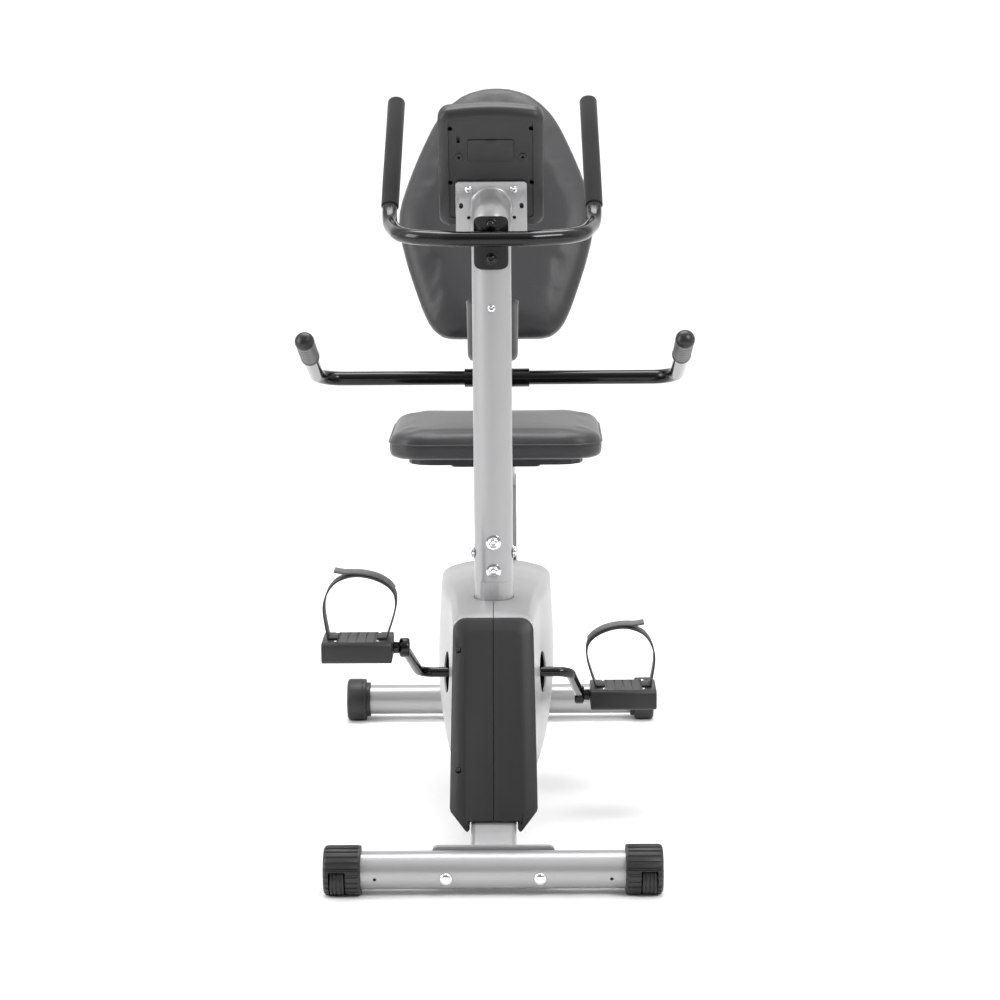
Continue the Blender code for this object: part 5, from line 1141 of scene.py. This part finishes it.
def inflate(mesh, pinned, pressure=4.0, frames=14):
    """Fill a closed cover by a short cloth simulation with its base held, and return the new mesh."""
    obj = linked("cover", mesh)
    remesh = obj.modifiers.new("grid", "REMESH")
    remesh.mode = "VOXEL"
    remesh.voxel_size = sizes().voxel
    mesh = worked(obj)
    obj = linked("cover", mesh)
    group = obj.vertex_groups.new(name="held")
    group.add([v.index for v in mesh.vertices if pinned(v.co)], 1.0, "REPLACE")
    before = [v.co.copy() for v in mesh.vertices]
    cloth = obj.modifiers.new("cloth", "CLOTH")
    cloth.settings.quality = 6
    cloth.settings.mass = 0.4
    cloth.settings.tension_stiffness = STIFFNESS
    cloth.settings.compression_stiffness = STIFFNESS
    cloth.settings.bending_stiffness = STIFFNESS
    cloth.settings.vertex_group_mass = "held"
    cloth.settings.use_pressure = True
    cloth.settings.uniform_pressure_force = pressure
    cloth.settings.effector_weights.gravity = 0
    cloth.point_cache.frame_start = 1
    cloth.point_cache.frame_end = frames
    scene = bpy.context.scene
    for number in range(1, frames + 1):
        scene.frame_set(number)
    filled = bpy.data.meshes.new_from_object(obj.evaluated_get(bpy.context.evaluated_depsgraph_get()))
    bpy.data.objects.remove(obj)
    scene.frame_set(1)
    for vert, old in zip(filled.vertices, before):
        move = vert.co - old
        if move.length > MOST_SWELL:
            vert.co = old + move * (MOST_SWELL / move.length)
    obj = linked("cover", filled)
    finer = obj.modifiers.new("finer", "SUBSURF")
    finer.levels = 1
    finer.render_levels = 1
    return worked(obj)


SEAT_HALF = 0.179
SEAT_DEPTH = 0.315
SEAT_BOTTOM = 0.564


def seat_section(inset, rise):
    """Seat outline at one level, drawn in by an inset."""
    centre_y = FRONT_Y + 0.622 + SEAT_DEPTH / 2
    corner = max(0.050 - inset * 0.7, 0.006)
    outline = rounded(2 * (SEAT_HALF - inset), SEAT_DEPTH - 2 * inset, corner, 12)
    return [Vector((u, centre_y + v, SEAT_BOTTOM + rise)) for u, v in outline]


def build_seat():
    """Seat cushion with a crowned top, a sewn welt round its side and a board below."""
    levels = [(0.010, 0.0), (0.004, 0.0015), (0.0012, 0.005), (0.0, 0.011), (0.0, 0.0265), (0.0012, 0.031),
              (0.0040, 0.0362), (0.0090, 0.0410), (0.0170, 0.0445), (0.030, 0.0465), (0.055, 0.0475),
              (0.090, 0.0478), (0.130, 0.0475)]
    rings = [seat_section(inset, rise) for inset, rise in levels]
    for ring in rings:
        for p in ring:
            bow = 1 - (p.x / SEAT_HALF) ** 2
            dip = 0.0035 * bow if p.z < 0.600 else -0.0030 * bow
            p.z = max(SEAT_BOTTOM + GAP, p.z - dip) if p.z > SEAT_BOTTOM + 0.0025 else p.z
    mesh = shaped(loft(rings))
    cover = inflate(mesh, lambda co: co.z < SEAT_BOTTOM + 0.012)
    obj = piece("seat_pad", cover, cover_vinyl(), "seat", ["seat_cushion"], sharp=60)
    ring = seat_section(-0.0002, 0.0268)
    for p in ring:
        p.z -= 0.0035 * (1 - (p.x / SEAT_HALF) ** 2)
    loop = section_rings(ring + [ring[0], ring[1]], circle(sizes().piping / 2, 12), UP)
    piece("seat_welt", loft(loop[:-2], closed_loop=True), welt_vinyl(), "seat")
    repaint(black_plastic(), "seat_board")
    repaint(gloss_black(), "seat_frame")


BACK_FOOT = Vector((0, FRONT_Y + 0.920, 0.748))
BACK_UP = Vector((0, 0.382683, 0.92388))
BACK_OUT = Vector((0, 0.92388, -0.382683))
BACK_TALL = 0.470
BACK_HALF = 0.176
# Half width of the backrest as a share of its widest, by how far up it is.
BACK_SHAPE = ((0.0, 0.46), (0.006, 0.53), (0.012, 0.565), (0.03, 0.625), (0.05, 0.67), (0.09, 0.722),
              (0.13, 0.763), (0.21, 0.833), (0.29, 0.904), (0.37, 0.955), (0.41, 0.985), (0.50, 1.0),
              (0.57, 0.944), (0.65, 0.869), (0.73, 0.788), (0.805, 0.697), (0.845, 0.652), (0.885, 0.591),
              (0.925, 0.50), (0.965, 0.374), (0.985, 0.26), (0.996, 0.14), (1.0, 0.05))


def back_half(share):
    """Half width of the backrest at a share of its height, softened at its widest point."""
    total = 0.0
    for step in range(-3, 4):
        at = min(1.0, max(0.0, share + step * 0.012 * min(1.0, 8 * min(share, 1 - share))))
        total += between(BACK_SHAPE, at)
    return BACK_HALF * total / 7


def back_line(inset):
    """Backrest outline, drawn in by an inset, as (across, along) points."""
    right = []
    for step in range(41):
        share = 0.5 - 0.5 * math.cos(math.pi * step / 40)
        half = back_half(share) - inset
        right.append((max(0.004, half), inset + share * (BACK_TALL - 2 * inset)))
    return right + [(-u, v) for u, v in right[::-1]]


def build_back():
    """Backrest cushion, crowned towards the rider, with the board behind it and a plug in the top of a tube.
    """

    def ring(inset, depth):
        return [BACK_FOOT + ACROSS * u + BACK_UP * v + BACK_OUT * depth for u, v in back_line(inset)]

    rings = [ring(inset, depth) for inset, depth in (
        (0.110, 0.0035), (0.070, 0.0020), (0.045, 0.0022), (0.028, 0.0050), (0.0150, 0.0090),
        (0.0070, 0.0140), (0.0020, 0.0205), (0.0, 0.0270), (0.0, 0.0390), (0.0015, 0.0450),
        (0.0050, 0.0490), (0.0100, 0.0500))]
    mesh = shaped(loft(rings))
    held = BACK_FOOT + BACK_OUT * 0.040
    cover = inflate(mesh, lambda co: (co - held).dot(BACK_OUT) > 0)
    obj = piece("back_pad", cover, cover_vinyl(), "seat", ["backrest_cushion"], sharp=60)
    board = [ring(inset, depth) for inset, depth in ((0.0170, 0.0503), (0.0162, 0.0510), (0.0162, 0.0590),
                                                     (0.0172, 0.0614), (0.0195, 0.0623))]
    piece("back_board", loft(board), black_plastic(), "seat", ["backrest_board"])
    top = Vector((0, 0.5053, 0.930))
    plug = turned(top, BACK_UP, [(0.0003, 0), (0.0003, 0.0188), (0.0030, 0.0188), (0.0048, 0.0172),
                                 (0.0054, 0.0120), (0.0056, 0)])
    piece("tube_plug", plug, black_plastic(), "seat")


def build_seat_bar():
    """Seat handlebar with its thicker sleeve, and grips that end in a ball."""
    centre = Vector((0, 0.37942, 0.665))
    tip = Vector((0.318, FRONT_Y + 0.650, 0.763))
    elbow = Vector((0.318, centre.y, centre.z))
    half = bent_path([centre, elbow, tip], 0.045, 18)
    radius = 0.0127
    piece("seat_bar", swept(both_sides(half), circle(radius, 40), side=UP,
                            hollow=circle(radius - TUBE_WALL, 40)),
          gloss_black(), "seat", ["seat_handlebar"])
    sleeve = turned(centre - ACROSS * 0.0575, ACROSS, [
        (0, radius), (0, 0.0158), (0.0008, 0.0165), (0.1142, 0.0165), (0.115, 0.0158), (0.115, radius)], 48)
    piece("seat_bar_sleeve", sleeve, gloss_black(), "seat", ["seat_handlebar"])
    rise = (tip.z - centre.z) / (centre.y - tip.y)
    heading = Vector((0, -1, rise)).normalized()
    outer, bore = 0.0165, radius + GAP
    for side, label in LEFT_RIGHT:
        end = Vector((side * tip.x, tip.y, tip.z))
        profile = [(GAP, 0), (GAP, bore), (-0.130, bore), (-0.130, outer - 0.0020), (-0.1285, outer),
                   (-0.122, outer), (-0.1200, outer - 0.0012)]
        for index in range(7):
            at = -0.118 + index * 0.0145
            profile += [(at, outer - 0.0018), (at + 0.0030, outer - 0.0006), (at + 0.0070, outer - 0.0003),
                        (at + 0.0110, outer - 0.0006), (at + 0.0140, outer - 0.0018)]
        profile += [(-0.0125, outer - 0.0010), (-0.0100, outer), (-0.0030, outer), (0.0020, outer - 0.0015),
                    (0.0060, outer - 0.0055), (0.0082, outer - 0.0105), (0.0090, 0)]
        piece("hand_grip." + label, turned(end, heading, profile, 48), smooth_black_plastic(), "seat",
              ["seat_grip_" + label])


# ---------------------------------------------------------------- stage

# Camera: metres in front of the front axis and above the floor, lens in mm, and its turns in degrees.
VIEW_DISTANCE = 4.30
VIEW_HEIGHT = 1.26
LENS = 107.136
VIEW_DOWN = 8.81
VIEW_ROUND = 0.60
VIEW_ROLL = -0.40


def lamp(name, place, aim, size, power):
    """A soft square lamp aimed at a point."""
    data = bpy.data.lights.new(name, "AREA")
    data.shape = "RECTANGLE"
    data.size, data.size_y = size
    data.energy = power
    obj = linked(name, data)
    obj.location = place
    obj.rotation_euler = (Vector(aim) - Vector(place)).to_track_quat("-Z", "Y").to_euler()


def build_stage():
    """Pale floor, soft studio light and the camera."""
    profile = [(-9.0, 0.0), (5.0, 0.0)]
    profile += [(5.0 + 3.0 * math.sin(turn), 3.0 - 3.0 * math.cos(turn))
                for turn in (math.pi / 2 * step / 24 for step in range(1, 25))]
    profile.append((8.0, 14.0))
    floor = loft([[Vector((x, y, z)) for x in (-16, 16)] for y, z in profile], caps=False, wrap=False)
    mesh = bpy.data.meshes.new("studio_floor")
    floor.to_mesh(mesh)
    floor.free()
    mesh.materials.append(floor_paint())
    mesh.shade_smooth()
    obj = linked("studio_floor", mesh)
    world = bpy.data.worlds.new("studio")
    world.use_nodes = True
    tree = world.node_tree
    # The room is dim behind the viewer and bright at the sides, which gives round tubes their lit edges.
    way = add(tree, "ShaderNodeTexCoord")
    parts = add(tree, "ShaderNodeSeparateXYZ", {"Vector": way.outputs["Generated"]})
    level = add(tree, "ShaderNodeMapRange", {"Value": parts.outputs["Y"], "From Min": -0.95,
                                             "From Max": -0.15, "To Min": 0.25, "To Max": 1.25})
    tree.links.new(level.outputs["Result"], tree.nodes["Background"].inputs["Strength"])
    tree.nodes["Background"].inputs["Color"].default_value = (1, 1, 1, 1)
    bpy.context.scene.world = world
    bpy.context.scene.view_settings.view_transform = "Standard"
    lamp("key", (2.4, -3.0, 3.4), (0, 0, 0.5), (1.4, 1.4), 90)
    lamp("fill", (-3.2, -1.4, 2.0), (0, 0, 0.5), (1.6, 2.2), 60)
    lamp("overhead", (0, 0.6, 3.4), (0, 0, 0.4), (2.4, 1.4), 60)
    lamp("backdrop", (0, 1.5, 6.0), (0, 8.0, 2.5), (9.0, 2.0), 260)
    data = bpy.data.cameras.new("studio_camera")
    data.sensor_width = 36
    data.lens = LENS
    data.clip_end = 100
    camera = linked("studio_camera", data)
    camera.location = (0.0138, FRONT_Y - VIEW_DISTANCE, VIEW_HEIGHT)
    camera.rotation_euler = (math.radians(90 - VIEW_DOWN), 0, 0)
    about = Vector((0, FRONT_Y, 0))
    turn = (Matrix.Translation(about) @ Matrix.Rotation(math.radians(VIEW_ROUND), 4, "Z")
            @ Matrix.Translation(-about))
    bpy.context.view_layer.update()
    camera.matrix_world = turn @ camera.matrix_world @ Matrix.Rotation(math.radians(VIEW_ROLL), 4, "Z")
    bpy.context.scene.camera = camera


# ---------------------------------------------------------------- add-on


class BIKE_OT_tubes(bpy.types.Operator):
    """Build the two stabiliser tubes and their carriage bolts"""

    bl_idname = "bike.tubes"
    bl_label = "Stabiliser tubes"

    def execute(self, context):
        build_tubes()
        return {"FINISHED"}


class BIKE_OT_front_caps(bpy.types.Operator):
    """Build the ribbed front caps and the transport wheels in them"""

    bl_idname = "bike.front_caps"
    bl_label = "Front caps and wheels"

    def execute(self, context):
        build_front_caps()
        return {"FINISHED"}


class BIKE_OT_rear_caps(bpy.types.Operator):
    """Build the round caps on the rear stabiliser"""

    bl_idname = "bike.rear_caps"
    bl_label = "Rear caps"

    def execute(self, context):
        build_rear_caps()
        return {"FINISHED"}


class BIKE_OT_frame(bpy.types.Operator):
    """Finish the welded frame, the seat rail and the seat carriage"""

    bl_idname = "bike.frame"
    bl_label = "Welded frame"

    def execute(self, context):
        build_frame()
        return {"FINISHED"}


class BIKE_OT_mast(bpy.types.Operator):
    """Build the mast, the console plate and their bolts"""

    bl_idname = "bike.mast"
    bl_label = "Mast"

    def execute(self, context):
        build_mast()
        return {"FINISHED"}


class BIKE_OT_handlebar(bpy.types.Operator):
    """Build the front handlebar and its foam grips"""

    bl_idname = "bike.handlebar"
    bl_label = "Front handlebar"

    def execute(self, context):
        build_handlebar()
        return {"FINISHED"}


class BIKE_OT_bracket(bpy.types.Operator):
    """Build the curved bracket that carries the front handlebar"""

    bl_idname = "bike.bracket"
    bl_label = "Handlebar bracket"

    def execute(self, context):
        build_bracket()
        return {"FINISHED"}


class BIKE_OT_holder(bpy.types.Operator):
    """Build the drink holder behind the mast"""

    bl_idname = "bike.holder"
    bl_label = "Drink holder"

    def execute(self, context):
        build_holder()
        return {"FINISHED"}


class BIKE_OT_console(bpy.types.Operator):
    """Build the console, its window, keys and battery door"""

    bl_idname = "bike.console"
    bl_label = "Console"

    def execute(self, context):
        build_console()
        return {"FINISHED"}


class BIKE_OT_shroud(bpy.types.Operator):
    """Build the two shroud halves"""

    bl_idname = "bike.shroud"
    bl_label = "Shroud"

    def execute(self, context):
        build_shroud()
        return {"FINISHED"}


class BIKE_OT_panels(bpy.types.Operator):
    """Build the black panels on the shroud's front"""

    bl_idname = "bike.panels"
    bl_label = "Front panels"

    def execute(self, context):
        build_panels()
        return {"FINISHED"}


class BIKE_OT_drive(bpy.types.Operator):
    """Finish the flywheel, pulleys, belt, idler and brake"""

    bl_idname = "bike.drive"
    bl_label = "Belt drive"

    def execute(self, context):
        build_drive()
        return {"FINISHED"}


class BIKE_OT_crank(bpy.types.Operator):
    """Build the one-piece crank"""

    bl_idname = "bike.crank"
    bl_label = "Crank"

    def execute(self, context):
        build_crank()
        return {"FINISHED"}


class BIKE_OT_pedals(bpy.types.Operator):
    """Build the pedals, their spindles and foot straps"""

    bl_idname = "bike.pedals"
    bl_label = "Pedals"

    def execute(self, context):
        build_pedals()
        return {"FINISHED"}


class BIKE_OT_seat(bpy.types.Operator):
    """Build the seat cushion and its welt"""

    bl_idname = "bike.seat"
    bl_label = "Seat"

    def execute(self, context):
        build_seat()
        return {"FINISHED"}


class BIKE_OT_back(bpy.types.Operator):
    """Build the backrest cushion"""

    bl_idname = "bike.back"
    bl_label = "Backrest"

    def execute(self, context):
        build_back()
        return {"FINISHED"}


class BIKE_OT_seat_bar(bpy.types.Operator):
    """Build the seat handlebar and its grips"""

    bl_idname = "bike.seat_bar"
    bl_label = "Seat handlebar"

    def execute(self, context):
        build_seat_bar()
        return {"FINISHED"}


class BIKE_OT_stage(bpy.types.Operator):
    """Build the floor, the lights and the camera"""

    bl_idname = "bike.stage"
    bl_label = "Studio"

    def execute(self, context):
        build_stage()
        return {"FINISHED"}


OPERATORS = (
    BIKE_OT_tubes,
    BIKE_OT_front_caps,
    BIKE_OT_rear_caps,
    BIKE_OT_frame,
    BIKE_OT_mast,
    BIKE_OT_handlebar,
    BIKE_OT_bracket,
    BIKE_OT_holder,
    BIKE_OT_console,
    BIKE_OT_shroud,
    BIKE_OT_panels,
    BIKE_OT_drive,
    BIKE_OT_crank,
    BIKE_OT_pedals,
    BIKE_OT_seat,
    BIKE_OT_back,
    BIKE_OT_seat_bar,
    BIKE_OT_stage,
)


class BIKE_PT_panel(bpy.types.Panel):
    """Sidebar panel that lists the settings and every step"""

    bl_label = "Exercise bike"
    bl_idname = "BIKE_PT_panel"
    bl_space_type = "VIEW_3D"
    bl_region_type = "UI"
    bl_category = "Exercise bike"

    def draw(self, context):
        for group in (context.scene.bike_sizes, context.scene.bike_colours):
            for name in group.bl_rna.properties.keys():
                if name not in ("rna_type", "name"):
                    self.layout.prop(group, name)
        for operator in OPERATORS:
            self.layout.operator(operator.bl_idname)


CLASSES = (BikeSizes, BikeColours, BIKE_PT_panel) + OPERATORS


def register():
    for item in CLASSES:
        bpy.utils.register_class(item)
    bpy.types.Scene.bike_sizes = PointerProperty(type=BikeSizes)
    bpy.types.Scene.bike_colours = PointerProperty(type=BikeColours)


def unregister():
    del bpy.types.Scene.bike_colours
    del bpy.types.Scene.bike_sizes
    for item in reversed(CLASSES):
        bpy.utils.unregister_class(item)


def main():
    register()
    for operator in OPERATORS:
        group, name = operator.bl_idname.split(".")
        getattr(getattr(bpy.ops, group), name)()


if __name__ == "__main__":
    main()
